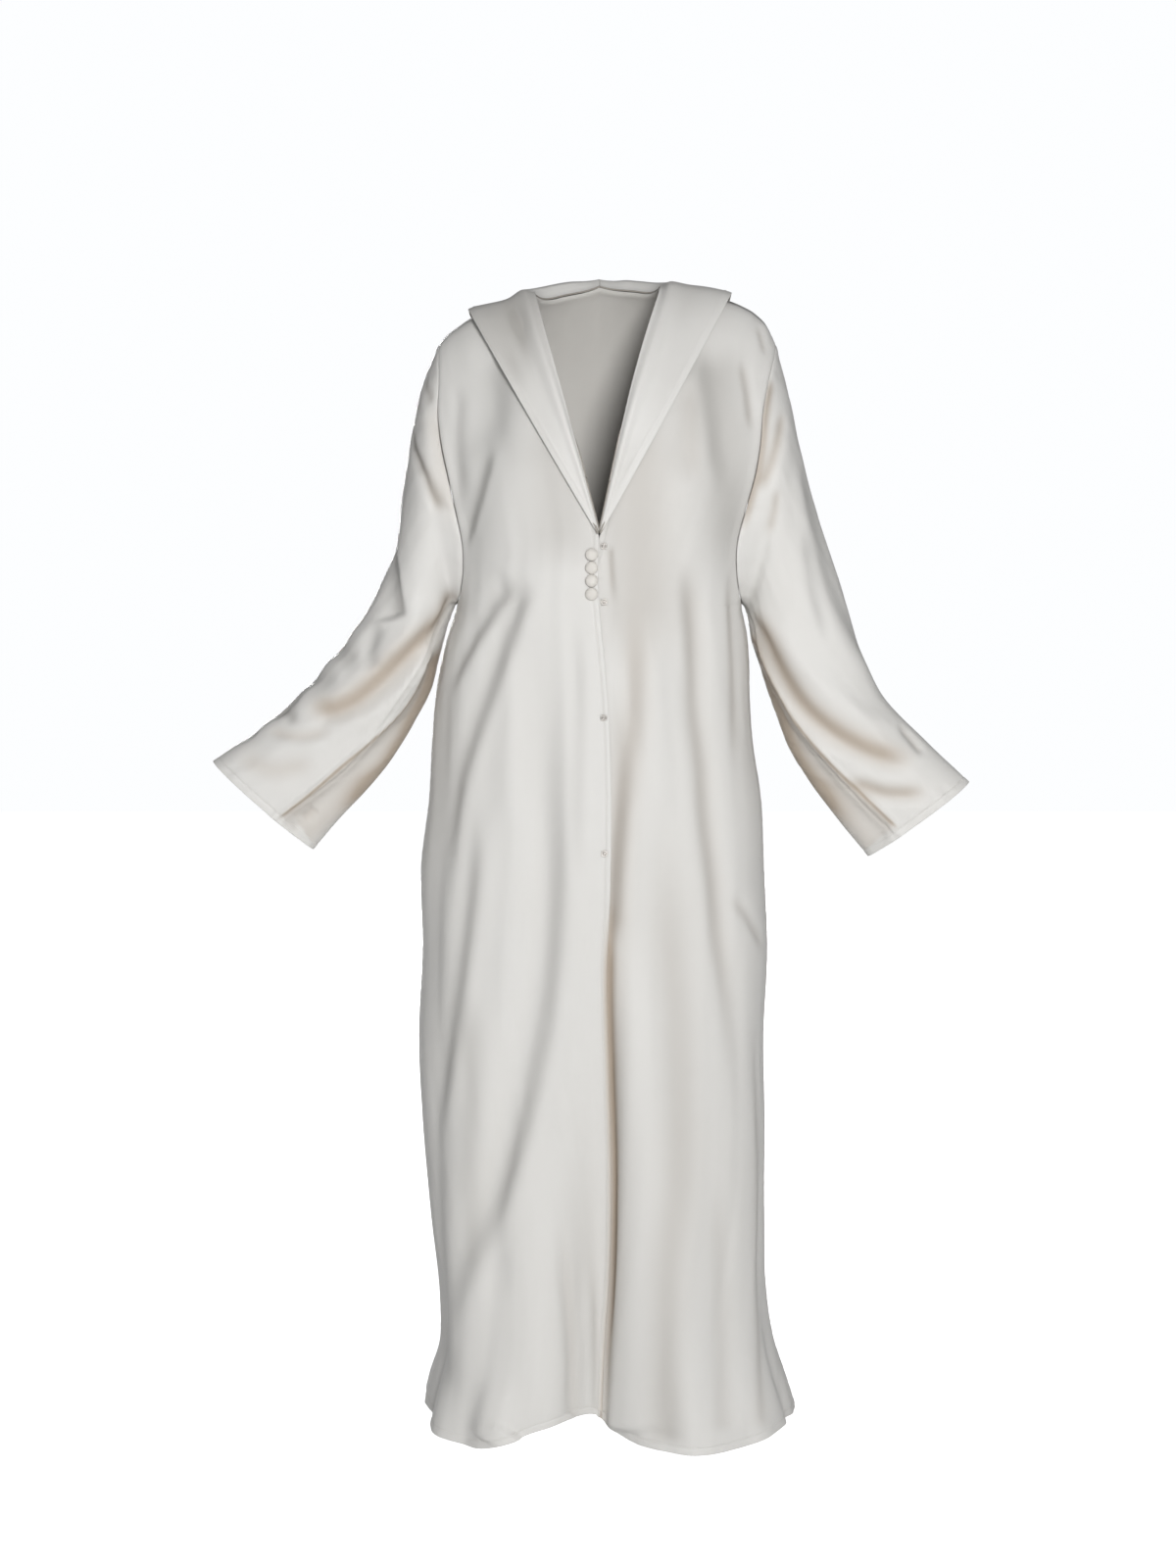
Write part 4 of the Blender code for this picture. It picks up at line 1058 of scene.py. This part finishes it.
def makeWeaveGroup():
    # satin floats: long threads side by side, each dipping under at staggered places
    group, source, target = newGroup(
        "satinWeave", {"Float Length": 0.0016, "Thread Width": 0.0003}, ("Tone", "Height")
    )
    quarterTurn = (0, 0, math.pi / 2)
    turned = addNode(group, "Mapping", {"Vector": source["Vector"], "Rotation": quarterTurn})
    between = addMath(group, "MULTIPLY", source["Thread Width"], weaving["gapShare"])
    floats = addNode(
        group, "TexBrick",
        {
            "Vector": turned.outputs["Vector"], "Brick Width": source["Float Length"],
            "Row Height": source["Thread Width"], "Mortar Size": between, "Mortar Smooth": 1.0,
            "Scale": 1.0, "Color1": weaving["high"], "Color2": weaving["low"],
            "Mortar": weaving["gap"],
        },
        offset=weaving["stagger"], offset_frequency=2
    ).outputs["Color"]
    stretched = addNode(group, "Mapping", {
        "Vector": source["Vector"], "Scale": weaving["slubScale"],
    }).outputs["Vector"]
    slub = addNode(group, "TexNoise", {
        "Vector": stretched, "Scale": 1.0, "Detail": 3.0,
    }).outputs["Fac"]
    tone = addMath(group, "MULTIPLY_ADD", slub, weaving["slubTone"], 0.15)
    feed(group, target["Tone"], addMath(group, "MULTIPLY_ADD", floats, weaving["floatTone"], tone))
    feed(group, target["Height"], addMath(group, "MULTIPLY_ADD", slub, 0.5, floats))
    return group


def makeCloudGroup():
    # broad and middling unevenness of dye and pressing
    group, source, target = newGroup("clothCloud", {"Broad": 5.0, "Fine": 60.0}, ("Tone", "Height"))
    broad, fine = (
        addNode(group, "TexNoise", {
            "Vector": source["Vector"], "Scale": source[label], "Detail": detail,
        }).outputs["Fac"]
        for label, detail in (("Broad", 2.0), ("Fine", 3.0))
    )
    feed(group, target["Tone"], addMath(group, "MULTIPLY_ADD", fine, 0.25, broad))
    feed(group, target["Height"], fine)
    return group


def makeStitchGroup():
    # one row of stitches at a set distance from an edge; the vector holds the run along the edge
    # and the gap to it
    group, source, target = newGroup(
        "stitchRow", {"At": 0.006, "Length": 0.003, "Width": 0.0004}, ("Mask", "Height")
    )
    place = addNode(group, "SeparateXYZ", {"Vector": source["Vector"]}).outputs
    away = addMath(group, "ABSOLUTE", addMath(group, "SUBTRACT", place["Y"], source["At"]))
    side = addMath(group, "SUBTRACT", 1.0, addMath(group, "DIVIDE", away, source["Width"]))
    side = addMath(group, "MAXIMUM", side, 0.0)
    step = addMath(group, "FRACT", addMath(group, "DIVIDE", place["X"], source["Length"]))
    fromHole = addMath(group, "PINGPONG", step, 0.5)
    isThread = addMath(group, "GREATER_THAN", fromHole, stitching["hole"])
    thread = addMath(group, "MULTIPLY", addMath(group, "POWER", side, 0.5), isThread)
    feed(group, target["Mask"], addMath(group, "GREATER_THAN", thread, 0.3))
    feed(group, target["Height"], thread)
    return group


weaveGroup = makeWeaveGroup()
cloudGroup = makeCloudGroup()
stitchGroup = makeStitchGroup()


def newMaterial(name, values):
    material = bpy.data.materials.new(name)
    material.use_nodes = True
    tree = material.node_tree
    shader = tree.nodes["Principled BSDF"].inputs
    for socket, value in values.items():
        feed(tree, shader[socket], value)
    return material, tree, shader


def dress(tree, shader, colour, roughness, normal):
    feed(tree, shader["Base Color"], colour)
    feed(tree, shader["Roughness"], roughness)
    feed(tree, shader["Normal"], normal)


def satinMaterial(name, colour, shade, roughness, sheen, stitched=(), hasPaintedShade=False):
    material, tree, shader = newMaterial(name, {
        "Sheen Weight": sheen, "Sheen Roughness": 0.35, "Specular IOR Level": satin["specular"],
    })
    uv = addNode(tree, "UVMap", uv_map="weave").outputs["UV"]
    place = addNode(tree, "TexCoord").outputs["Object"]
    woven = addNode(tree, "Group", {
        "Vector": uv, "Float Length": weaving["floatLength"],
        "Thread Width": weaving["threadWidth"],
    }, node_tree=weaveGroup).outputs
    cloud = addNode(tree, "Group", {
        "Vector": place, "Broad": satin["cloudBroad"], "Fine": satin["cloudFine"],
    }, node_tree=cloudGroup).outputs
    tone = addMath(tree, "MULTIPLY", cloud["Tone"], satin["cloudTone"])
    tone = addMath(tree, "MULTIPLY_ADD", woven["Tone"], satin["weaveTone"], tone)
    colourNow = addMix(tree, tone, colour, shade)
    # painted shade: the shade mask darkens the colour towards grey or brown, by its warmth
    if hasPaintedShade:
        paintedShadeTone = addMix(tree, addAttribute(tree, "warmth"), satin["dusk"], satin["fold"])
        colourNow = addMix(tree, addAttribute(tree, "shade"), colourNow, paintedShadeTone)
    normal = addBump(tree, cloud["Height"], satin["cloudRelief"], 0.35)
    normal = addBump(tree, woven["Height"], weaving["relief"], 0.5, normal)
    for edge, at in stitched:
        run, gap = (addAttribute(tree, edge + what) for what in ("Run", "Gap"))
        place = addNode(tree, "CombineXYZ", {"X": run, "Y": gap}).outputs["Vector"]
        row = addNode(tree, "Group", {
            "Vector": place, "At": at, "Length": stitching["length"], "Width": stitching["width"],
        }, node_tree=stitchGroup).outputs
        colourNow = addMix(tree, row["Mask"], colourNow, satin["thread"])
        normal = addBump(tree, row["Height"], stitching["relief"], 0.8, normal)
    rough = addMath(tree, "MULTIPLY_ADD", woven["Tone"], 0.10, roughness - 0.05)
    dress(tree, shader, colourNow, rough, normal)
    return material


stitchedEdges = (("hem", sewing["hemStitch"]), ("closing", sewing["edgeStitch"]))
satinOuter = satinMaterial(
    "satinOuter", satin["colour"], satin["shade"], satin["roughness"], 0.0, stitchedEdges, True
)
satinInner = satinMaterial("satinInner", satin["inner"], satin["shade"], 0.75, 0.25)
satinCollar = satinMaterial(
    "satinCollar", satin["colour"], satin["shade"], satin["roughness"], 0.0, (), True
)
satinShadowUnder = satinMaterial("satinShadowUnder", satin["under"], satin["under"], 0.8, 0.0)
satinButton = satinMaterial("satinButton", satin["button"], satin["shade"], 0.48, 0.2)


grainHigh = 0.0001  # how deep the fine texture of the studs and threads goes


def smallMaterial(name, values, kind, scale, colours, roughness, strength, **settings):
    # a material whose colour, roughness and relief follow one fine texture
    material, tree, shader = newMaterial(name, values)
    place = addNode(tree, "TexCoord").outputs["Object"]
    grain = addNode(tree, kind, {"Vector": place, "Scale": scale}, **settings).outputs["Fac"]
    rough = addMath(tree, "MULTIPLY_ADD", grain, *roughness)
    normal = addBump(tree, grain, grainHigh, strength)
    dress(tree, shader, addMix(tree, grain, *colours), rough, normal)
    return material


pressStud = smallMaterial(
    "pressStud", {"Metallic": 0.7}, "TexNoise", 900.0, ((0.66, 0.63, 0.59), (0.34, 0.32, 0.30)),
    (0.2, 0.36), 0.2
)
sewingThread = smallMaterial(
    "sewingThread", {"Sheen Weight": 0.3}, "TexWave", 1500.0, (satin["thread"], satin["shade"]),
    (0.1, 0.5), 0.4, bands_direction="DIAGONAL"
)
print("materials ready")

collar = {
    "stations": 76,            # on each of its two stretches, before and behind the shoulder
    "columns": 26,
    "nearSteps": (0.0, 0.02, 0.05),
    "farSteps": (0.0, 0.012, 0.03, 0.06, 0.085),
    "tip": 0.012,              # part of the neckline left bare at the V
    "lift": 0.0022,
    "liftAcross": 0.13,
    "seat": 0.0006,
    "fall": 0.088,
    "standAt": 0.16,
    "gap": 0.0003,
    "corner": {right: 0.149, left: 0.150},
    "ply": 0.0016,
    "edgeRidge": 0.0075,       # the turned-in allowance shows this far from the outer edge
    "edgeRidgeHigh": 0.0006,
    "edgeRidgeWide": 0.0016,
    "edgeRidgeFrom": 0.02,
    "round": 0.0005,           # the edge itself rolls under
    "roundWide": 0.0012,
    # how brown the collar's painted shade is
    "warmth": 0.15,
    "shadow": 0.95,
    "shadowWide": 0.0020,
    "shadowAt": 0.0012,
    "soften": 7,
    "softenRise": 4,
    "sharpLift": 0.35,         # of the lift stays where the cloth below turns sharply
    "backHigh": 0.0075,
    "riseFrom": 0.46,          # by place along the collar
    "riseFull": 0.56,
}
collarRoll = tableOf(
    "place stand outer",
    (0, 0.0002, 0.0004),
    (0.2, 0.003, 0.001),
    (0.4, 0.0048, 0.004),
    (0.5, 0.005, 0.006),
    (0.6, 0.0062, 0.005),
    (0.8, 0.008, 0.003),
    (1, 0.0085, 0.0025),
)
waveFields = "place across depth long wide"
collarWaves = {  # soft hollows and swells, by place along the collar and across it
    right: tableOf(
        waveFields,
        (0.43, 0.42, -0.005, 0.05, 0.2),
        (0.37, 0.75, -0.003, 0.04, 0.22),
        (0.47, 0.85, 0.002, 0.04, 0.2),
        (0.2, 0.4, 0.0012, 0.06, 0.3),
        (0.66, 0.6, -0.0022, 0.05, 0.4),
        (0.86, 0.7, 0.002, 0.06, 0.4),
    ),
    left: tableOf(
        waveFields,
        (0.44, 0.35, -0.0016, 0.05, 0.25),
        (0.3, 0.6, 0.0014, 0.06, 0.3),
        (0.16, 0.45, -0.001, 0.04, 0.3),
        (0.64, 0.65, -0.0024, 0.05, 0.4),
        (0.84, 0.6, 0.0018, 0.05, 0.4),
    ),
}
collarShades = {  # painted shade on the collar: patches made darker, the depth saying how much
    right: tableOf(
        waveFields,
        (0.44, 0.55, 0.72, 0.095, 0.8),
        (0.42, 0.45, 0.55, 0.06, 0.1),
        (0.36, 0.78, 0.25, 0.04, 0.12),
        (0.2, 0.95, 0.12, 0.1, 0.3),
    ),
    left: tableOf(
        waveFields,
        (0.47, 0.4, 0.28, 0.05, 0.3),
        (0.3, 0.75, 0.15, 0.08, 0.3),
        (0.12, 0.5, 0.2, 0.06, 0.25),
    ),
}


def neckCurve(side, count):
    levels = np.linspace(form["vPoint"], neckline[0].level, cloth["neckSamples"])
    x = neckX(side, levels)
    run = lengthsAlong(bodyPoint(angleOf(x, levels, False), levels, ridge(x) - levels))
    picked = np.interp(np.linspace(0, run[-1], count + 1), run, levels)
    return neckX(side, picked), picked


def collarAcross():
    # places across the collar, from the neckline (0) to the outer edge (1)
    return stepped(1.0, collar["nearSteps"], collar["farSteps"], collar["columns"])[None, :]


def spotsOf(table, place, across):
    return sum(
        row.depth * bump(place - row.place, row.long) * bump(across - row.across, row.wide)
        for row in table
    )


def collarPoints(side):
    count = collar["stations"]
    corner = collar["corner"][side]
    x, levels = neckCurve(side, count)
    drops = np.maximum(ridge(x) - levels, 0.0)
    drops[-1] = 0.0
    share = np.linspace(collar["tip"], 1, count + 1)
    x = np.interp(share, np.linspace(0, 1, count + 1), x)
    drops = np.interp(share, np.linspace(0, 1, count + 1), drops)
    vX = float(neckX(side, form["vPoint"]))
    cornerZ = float(ridge(np.array(side * corner)))
    outX = vX + (side * corner - vX) * share
    outDrop = np.maximum(ridge(outX) - (form["vPoint"] + (cornerZ - form["vPoint"]) * share), 0.0)

    backX = side * np.linspace(follow(neckline, sideName(side), neckline[0].level), 0.0, count + 1)
    backDrops = backNeckDrop(backX)
    turn = np.linspace(0, math.pi / 2, count + 1)
    farX = side * corner * np.cos(turn)
    farDrop = ridge(farX) - cornerZ + (cornerZ + collar["fall"]) * np.sin(turn)
    farDrop[0] = 0.0
    backX[-1] = farX[-1] = side * collar["gap"] / 2

    nearX = np.concatenate((x, backX[1:]))[:, None]
    nearDrop = np.concatenate((drops, backDrops[1:]))[:, None]
    edgeX = np.concatenate((outX, farX[1:]))[:, None]
    edgeDrop = np.concatenate((outDrop, farDrop[1:]))[:, None]
    isBack = (np.arange(2 * count + 1) > count)[:, None]
    place = np.linspace(0, 1, 2 * count + 1)[:, None]
    across = collarAcross()
    atX = nearX + (edgeX - nearX) * across
    atDrop = nearDrop + (edgeDrop - nearDrop) * across
    level = ridge(atX) - atDrop
    base = bodyPoint(angleOf(atX, level, isBack), level, atDrop)
    stand = follow(collarRoll, "stand", place)
    outer = follow(collarRoll, "outer", place)
    standAt = collar["standAt"]
    lift = collar["lift"] * ease(0, collar["liftAcross"], across) + collar["seat"]
    hump = bump(across - standAt, standAt) * ease(0, standAt, across)
    lift = lift + stand * hump + outer * across ** 2 + spotsOf(collarWaves[side], place, across)
    return base, np.maximum(lift, collar["seat"]), hump


def evenBehind(base):
    # the stretch behind the shoulder has its stations evenly spaced in every column
    count = collar["stations"]
    for column in range(base.shape[1]):
        base[count:, column] = resample(base[count:, column], count)
    return base


def softened(values, reach, times=3):
    # a running mean along the collar; its back end goes on as a mirror image, its tip stays
    mirrored = values[-2:-reach - 2:-1] * (-1, 1, 1)
    for _ in range(times):
        padded = np.concatenate((np.repeat(values[:1], reach, axis=0), values, mirrored))
        sums = np.concatenate((np.zeros((1, *values.shape[1:])), padded.cumsum(axis=0)))
        values = (sums[2 * reach + 1:] - sums[:-2 * reach - 1]) / (2 * reach + 1)
        mirrored = values[-2:-reach - 2:-1] * (-1, 1, 1)
    return values


def collarShape(side):
    # the cloth under the collar, the way it faces, and the collar's own underside
    base, lift, hump = collarPoints(side)
    base = evenBehind(base)
    facing = softened(gridNormals(base, upAndOut), collar["soften"])
    facing[-1, :, 0] = 0.0
    size = np.linalg.norm(facing, axis=2, keepdims=True)
    normals = facing / size
    sharp = collar["sharpLift"]
    under = base + normals * (lift[..., None] * (sharp + (1 - sharp) * size))
    # behind the neck the roll stands up to a level line
    place = np.linspace(0, 1, len(base))
    crest = under[:, hump[0].argmax(), 2]
    shoulder = crest[collar["stations"]]
    level = shoulder + (collar["backHigh"] - shoulder) * ease(0.5, 1.0, place)
    rise = np.maximum(level - crest, 0.0) * ease(collar["riseFrom"], collar["riseFull"], place)
    rise = softened(np.repeat(rise[:, None, None], 3, axis=2), collar["softenRise"])[:, :1, 1]
    under[..., 2] += rise * hump
    return base, normals, under


def collarShade(side, rows):
    # painted shade on the collar, from its table
    place = np.linspace(0, 1, rows)[:, None]
    across = collarAcross()
    return np.clip(spotsOf(collarShades[side], place, across), 0.0, 1.0)


def collarEdgeShade(points):
    # painted shadow: the collar's outer edge keeps the light off a thin line of the cloth below it
    shade = np.zeros(points.shape[:2])
    for side in (right, left):
        edge = collarShape(side)[2][:, -1]
        away = nearestOn(points, edge)[0] - collar["shadowAt"]
        shade = np.maximum(shade, bump(away, collar["shadowWide"]))
    return collar["shadow"] * shade


def shapePanel(node, points, normals, isFront):
    rows = cloth["topRows"]
    across, down = gridLengths(points)
    fromEnd = across[:, -1:] - across
    fromHem = down[-1:] - down
    field, shade, warmth = creaseField(points, normals, node)
    field += ripples(across, down, len(node))
    calm = ease(0, sewing["calmTop"], down) * ease(0, sewing["calmSeam"], fromEnd)
    if isFront:
        # the valley's painted shade joins the creases' painted shade
        hollow, hollowShade = closingValley(points, node)
        field += hollow
        warmth = (warmth * shade + hollowShade) / np.maximum(shade + hollowShade, 0.001)
        shade = np.clip(shade + hollowShade, 0.0, 1.0)
    else:
        calm = calm * ease(0, sewing["calmSeam"], across)
    points = points + normals * (field * calm)[..., None]
    # painted shadow under the collar's outer edge
    shade = np.maximum(shade, collarEdgeShade(points))
    detail = seamRelief(fromEnd, down, 2.1) + seamRelief(down, across, 3.3)
    if isFront:
        detail += stitchedRelief(across, down, sewing["edgeStitch"], 4.7)
    else:
        detail += seamRelief(across, down, 2.1)
    swing = hemSwing(fromHem, across, 1.3 if isFront else 2.6)
    swing *= ease(0, sewing["calmHem"], fromEnd)
    swing *= 1.0 if isFront else ease(0, sewing["calmHem"], across)
    detail += stitchedRelief(fromHem, across, sewing["hemStitch"], 6.1) + swing
    return points + normals * detail[..., None], shade, warmth


def panelPlies(points):
    across, down = gridLengths(points)
    return np.where(down[-1:] - down < cloth["hemDeep"], 1.0, cloth["ply"] / cloth["hemPly"])


def panelStitchesAndShade(points, isFront, shade, warmth):
    across, down = gridLengths(points)
    # the stitch places, with the painted shade and its warmth
    stitchesAndShade = {"hemGap": down[-1:] - down, "hemRun": across, "shade": shade, "warmth": warmth}
    if isFront:
        stitchesAndShade["closingGap"] = across
        stitchesAndShade["closingRun"] = down
    return stitchesAndShade


basePoints = {
    "front_right": frontPoints(right),
    "front_left": lapBehind(frontPoints(left)),
    "back": backPoints(),
}
baseNormals = {name: gridNormals(points, awayFromMiddle) for name, points in basePoints.items()}
joined = slice(cloth["topRows"], None)
for name, column in (("front_left", 0), ("front_right", -1)):  # the side seams share their facing
    both = baseNormals[name][joined, -1] + baseNormals["back"][joined, column]
    both /= np.linalg.norm(both, axis=1, keepdims=True)
    baseNormals[name][joined, -1] = both
    baseNormals["back"][joined, column] = both
print("panels laid out")

pieces = {}
armholeRows = slice(cloth["topRows"], None, -1)
for name, points in basePoints.items():
    isFront = name != "back"
    shaped, shade, warmth = shapePanel(name, points, baseNormals[name], isFront)
    pieces[name] = clothObject(
        name, shaped, baseNormals[name], False, panelPlies(points),
        panelStitchesAndShade(points, isFront, shade, warmth), (satinOuter, satinInner)
    )
    print("made", name)

for name, side in (("sleeve_right", right), ("sleeve_left", left)):
    frontEdge = basePoints["front_" + sideName(side)][armholeRows, -1]
    backEdge = basePoints["back"][armholeRows, 0 if side == left else -1]
    points = sleevePoints(side, frontEdge, backEdge)
    normals = gridNormals(points, acrossDepth, True)
    across, down = gridLengths(points)
    fromHem = down[-1:] - down
    seamGap = np.minimum(across, across[:, -1:] - across)
    field, shade, warmth = creaseField(points, normals, name)
    field = (field + ripples(across, down, 3.0)) * ease(0, sewing["calmSeam"], down)
    detail = seamRelief(down, across, 5.2) + seamRelief(seamGap, down, 7.4)
    detail += stitchedRelief(fromHem, across, sewing["hemStitch"], 3.9)
    shaped = points + normals * (field + detail)[..., None]
    shaped[:, -1] = shaped[:, 0]
    pieces[name] = clothObject(
        name, shaped, normals, True, panelPlies(points),
        panelStitchesAndShade(points, False, shade, warmth), (satinOuter, satinInner)
    )
    print("made", name)

for name, side in (("collar_right", right), ("collar_left", left)):
    base, normals, under = collarShape(side)
    across, down = gridLengths(base)
    fromEdge = across[:, -1:] - across
    raised = bump(fromEdge - collar["edgeRidge"], collar["edgeRidgeWide"])
    raised *= ease(0.0, collar["edgeRidgeFrom"], across)
    rolled = bump(fromEdge, collar["roundWide"])
    relief = collar["edgeRidgeHigh"] * raised - collar["round"] * rolled
    normals = gridNormals(under, upAndOut)
    normals[-1, :, 0] = 0.0
    top = under + normals * (collar["ply"] + relief)[..., None]
    # the collar carries its painted shade and that shade's warmth
    pieces[name] = clothObject(
        name, top, normals, False, np.full(top.shape[:2], collar["ply"] / cloth["hemPly"]),
        {"shade": collarShade(side, len(top)), "warmth": np.full(top.shape[:2], collar["warmth"])},
        (satinCollar, satinShadowUnder)
    )
    print("made", name)

button = {
    "radius": 0.0074,
    "height": 0.0054,
    "steps": 72,
    "gathers": 22,          # little pleats where the cloth is drawn round the rim
    "gatherDeep": 0.00022,
    "gatherAt": 0.12,       # shares of the height
    "gatherWide": 0.22,
    "back": ((0.0, 0.0), (0.45, 0.0), (0.80, 0.0001), (0.93, 0.0005)),  # share of the radius, level
    "rimHigh": 0.22,
    "domeSquare": 0.9,
    "domeSteps": 16,
    "leans": (9, -4, 5, -3),     # degrees, out of the closing's plane
    "nods": (-6, 5, -3, 6),
}
stud = {
    "radius": 0.0040,
    "height": 0.0018,
    "steps": 48,
    "nods": (10, -8, 14, -6),
    "threads": 4,
    "threadThick": 0.00022,
    "threadLong": 0.62,       # shares of the radius
    "threadAt": 0.86,
    "threadHigh": 0.45,       # of the height
    "threadLean": 104,        # degrees
    "threadApart": 0.09,      # radians
    "profile": (              # shares of the radius and the height, from the back to the boss
        (0, 0), (0.94, 0), (1, 0.12), (0.99, 0.34), (0.92, 0.46), (0.80, 0.44), (0.72, 0.34),
        (0.56, 0.36), (0.48, 0.60), (0.44, 0.88), (0.34, 1), (0.20, 0.98), (0.12, 0.80), (0, 0.76),
    ),
}


def turned(profile, steps):
    work = bmesh.new()
    chain = [work.verts.new((radius, 0.0, height)) for radius, height in profile]
    edges = [work.edges.new(pair) for pair in zip(chain, chain[1:])]
    bmesh.ops.spin(
        work, geom=chain + edges, cent=(0, 0, 0), axis=(0, 0, 1), angle=math.tau,
        steps=steps, use_merge=True, use_duplicate=False
    )
    bmesh.ops.remove_doubles(work, verts=work.verts, dist=0.000005)
    bmesh.ops.recalc_face_normals(work, faces=work.faces)
    return work


def finishSmall(work, node, part, material, lean, nod):
    # laid with its back on the node's own back
    low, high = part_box(node)
    place = Vector(((low.x + high.x) / 2, high.y, (low.z + high.z) / 2))
    weave = work.loops.layers.uv.new("weave")
    for face in work.faces:
        for loop in face.loops:
            loop[weave].uv = (loop.vert.co.x, loop.vert.co.y)
    turn = (
        Matrix.Translation(place) @ Matrix.Rotation(math.radians(lean), 4, "Z")
        @ Matrix.Rotation(math.radians(90 + nod), 4, "X")
    )
    bmesh.ops.transform(work, matrix=turn, verts=work.verts)
    return objectFrom(work, node + part, (material,))


def makeButton(index):
    radius, height = button["radius"], button["height"]
    profile = [(radius * out, level) for out, level in button["back"]]
    rim = button["rimHigh"]
    for step in range(button["domeSteps"]):
        turn = math.pi / 2 * step / button["domeSteps"]
        out = radius * math.cos(turn) ** button["domeSquare"]
        profile.append((out, height * (rim + (1 - rim) * math.sin(turn))))
    work = turned(profile + [(0.0, height)], button["steps"])
    for vert in work.verts:
        out = math.hypot(vert.co.x, vert.co.y)
        if out < radius * 0.3:
            continue
        around = math.atan2(vert.co.y, vert.co.x)
        low = bump(vert.co.z - height * button["gatherAt"], height * button["gatherWide"])
        pleat = math.cos(button["gathers"] * around + 1.3 * math.sin(3 * around + index))
        pleat *= low * min(out / radius, 1.0) ** 4
        scale = 1 + button["gatherDeep"] / radius * pleat
        vert.co.x *= scale
        vert.co.y *= scale
    lean, nod = button["leans"][index], button["nods"][index]
    return finishSmall(work, "button_%d" % (index + 1), "_cover", satinButton, lean, nod)


def makeStud(index):
    radius, height = stud["radius"], stud["height"]
    profile = [(radius * out, height * up) for out, up in stud["profile"]]
    work = turned(profile, stud["steps"])
    return finishSmall(work, "snap_%d" % (index + 1), "_cap", pressStud, 0, stud["nods"][index])


def makeStudThreads(index):
    # threads that sew the stud down over its rim
    radius, height, thick = stud["radius"], stud["height"], stud["threadThick"]
    work = bmesh.new()
    for quarter in range(stud["threads"]):
        for strand in (-1, 0, 1):
            around = math.tau * (quarter + 0.5) / stud["threads"] + strand * stud["threadApart"]
            made = bmesh.ops.create_cone(
                work, cap_ends=True, segments=8, radius1=thick, radius2=thick,
                depth=radius * stud["threadLong"]
            )["verts"]
            lay = (
                Matrix.Rotation(around, 4, "Z")
                @ Matrix.Translation((radius * stud["threadAt"], 0, height * stud["threadHigh"]))
                @ Matrix.Rotation(math.radians(stud["threadLean"]), 4, "Y")
            )
            bmesh.ops.transform(work, matrix=lay, verts=made)
    nod = stud["nods"][index]
    return finishSmall(work, "snap_%d" % (index + 1), "_threads", sewingThread, 0, nod)


for index in range(4):
    pieces["button_%d" % (index + 1)] = makeButton(index)
    pieces["snap_%d" % (index + 1)] = makeStud(index)
print("buttons and studs made")

for node, piece in pieces.items():
    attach(piece, "root")
    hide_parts(node)
for index in range(4):
    threads = makeStudThreads(index)
    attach(threads, "root")

flatCut = namedtuple("flatCut", "width length area")

studio = {
    "floorLevel": -1.492,     # the soles of whoever would wear it
    "floorSize": 16.0,
    "floorColour": (0.90, 0.90, 0.90),
    "floorGlow": 0.80,
    "world": 0.22,
    "worldColour": (0.98, 0.99, 1.0),
    "cameraPlace": (-0.0138, -3.8, -0.20),
    "cameraPitch": 5.76,
    "lens": 74.35,
}
lights = tableOf(
    "name place target size power",
    ("key", (0.95, -6, 1.1), (0, 0, -0.7), 1.5, 285),
    ("fill", (-2.4, -2.8, 0.3), (0, 0, -0.7), 2, 4),
    ("rear", (-1, 6, -0.1), (0, 0, -0.7), 1.6, 260),
)


def makeStudio():
    work = bmesh.new()
    bmesh.ops.create_grid(work, x_segments=8, y_segments=8, size=studio["floorSize"] / 2)
    bmesh.ops.translate(work, verts=work.verts, vec=(0, 0, studio["floorLevel"]))
    material, tree, shader = newMaterial("paleFloor", {
        "Base Color": studio["floorColour"], "Roughness": 0.9, "Emission Color": (1, 1, 1),
    })
    seen = addNode(tree, "LightPath").outputs["Is Camera Ray"]
    feed(tree, shader["Emission Strength"], addMath(tree, "MULTIPLY", seen, studio["floorGlow"]))
    floor = objectFrom(work, "floor", (material,))

    world = bpy.data.worlds.new("studioLight")
    world.use_nodes = True
    tree = world.node_tree
    background = tree.nodes["Background"].inputs
    seen = addNode(tree, "LightPath").outputs["Is Camera Ray"]
    strength = addMath(tree, "MULTIPLY_ADD", seen, 1 - studio["world"], studio["world"])
    feed(tree, background["Color"], studio["worldColour"])
    feed(tree, background["Strength"], strength)
    bpy.context.scene.world = world

    for row in lights:
        data = bpy.data.lights.new(row.name, "AREA")
        data.shape = "DISK"
        data.size = row.size
        data.energy = row.power
        lamp = bpy.data.objects.new(row.name, data)
        lamp.location = row.place
        aim = Vector(row.target) - Vector(row.place)
        lamp.rotation_euler = aim.to_track_quat("-Z", "Y").to_euler()
        bpy.context.scene.collection.objects.link(lamp)

    data = bpy.data.cameras.new("view")
    data.sensor_fit = "AUTO"
    data.sensor_width = 36.0
    data.lens = studio["lens"]
    camera = bpy.data.objects.new("view", data)
    camera.location = studio["cameraPlace"]
    camera.rotation_euler = (math.radians(90 - studio["cameraPitch"]), 0, 0)
    bpy.context.scene.collection.objects.link(camera)
    bpy.context.scene.camera = camera
    bpy.context.scene.view_settings.view_transform = "Standard"


makeStudio()
print("studio ready")
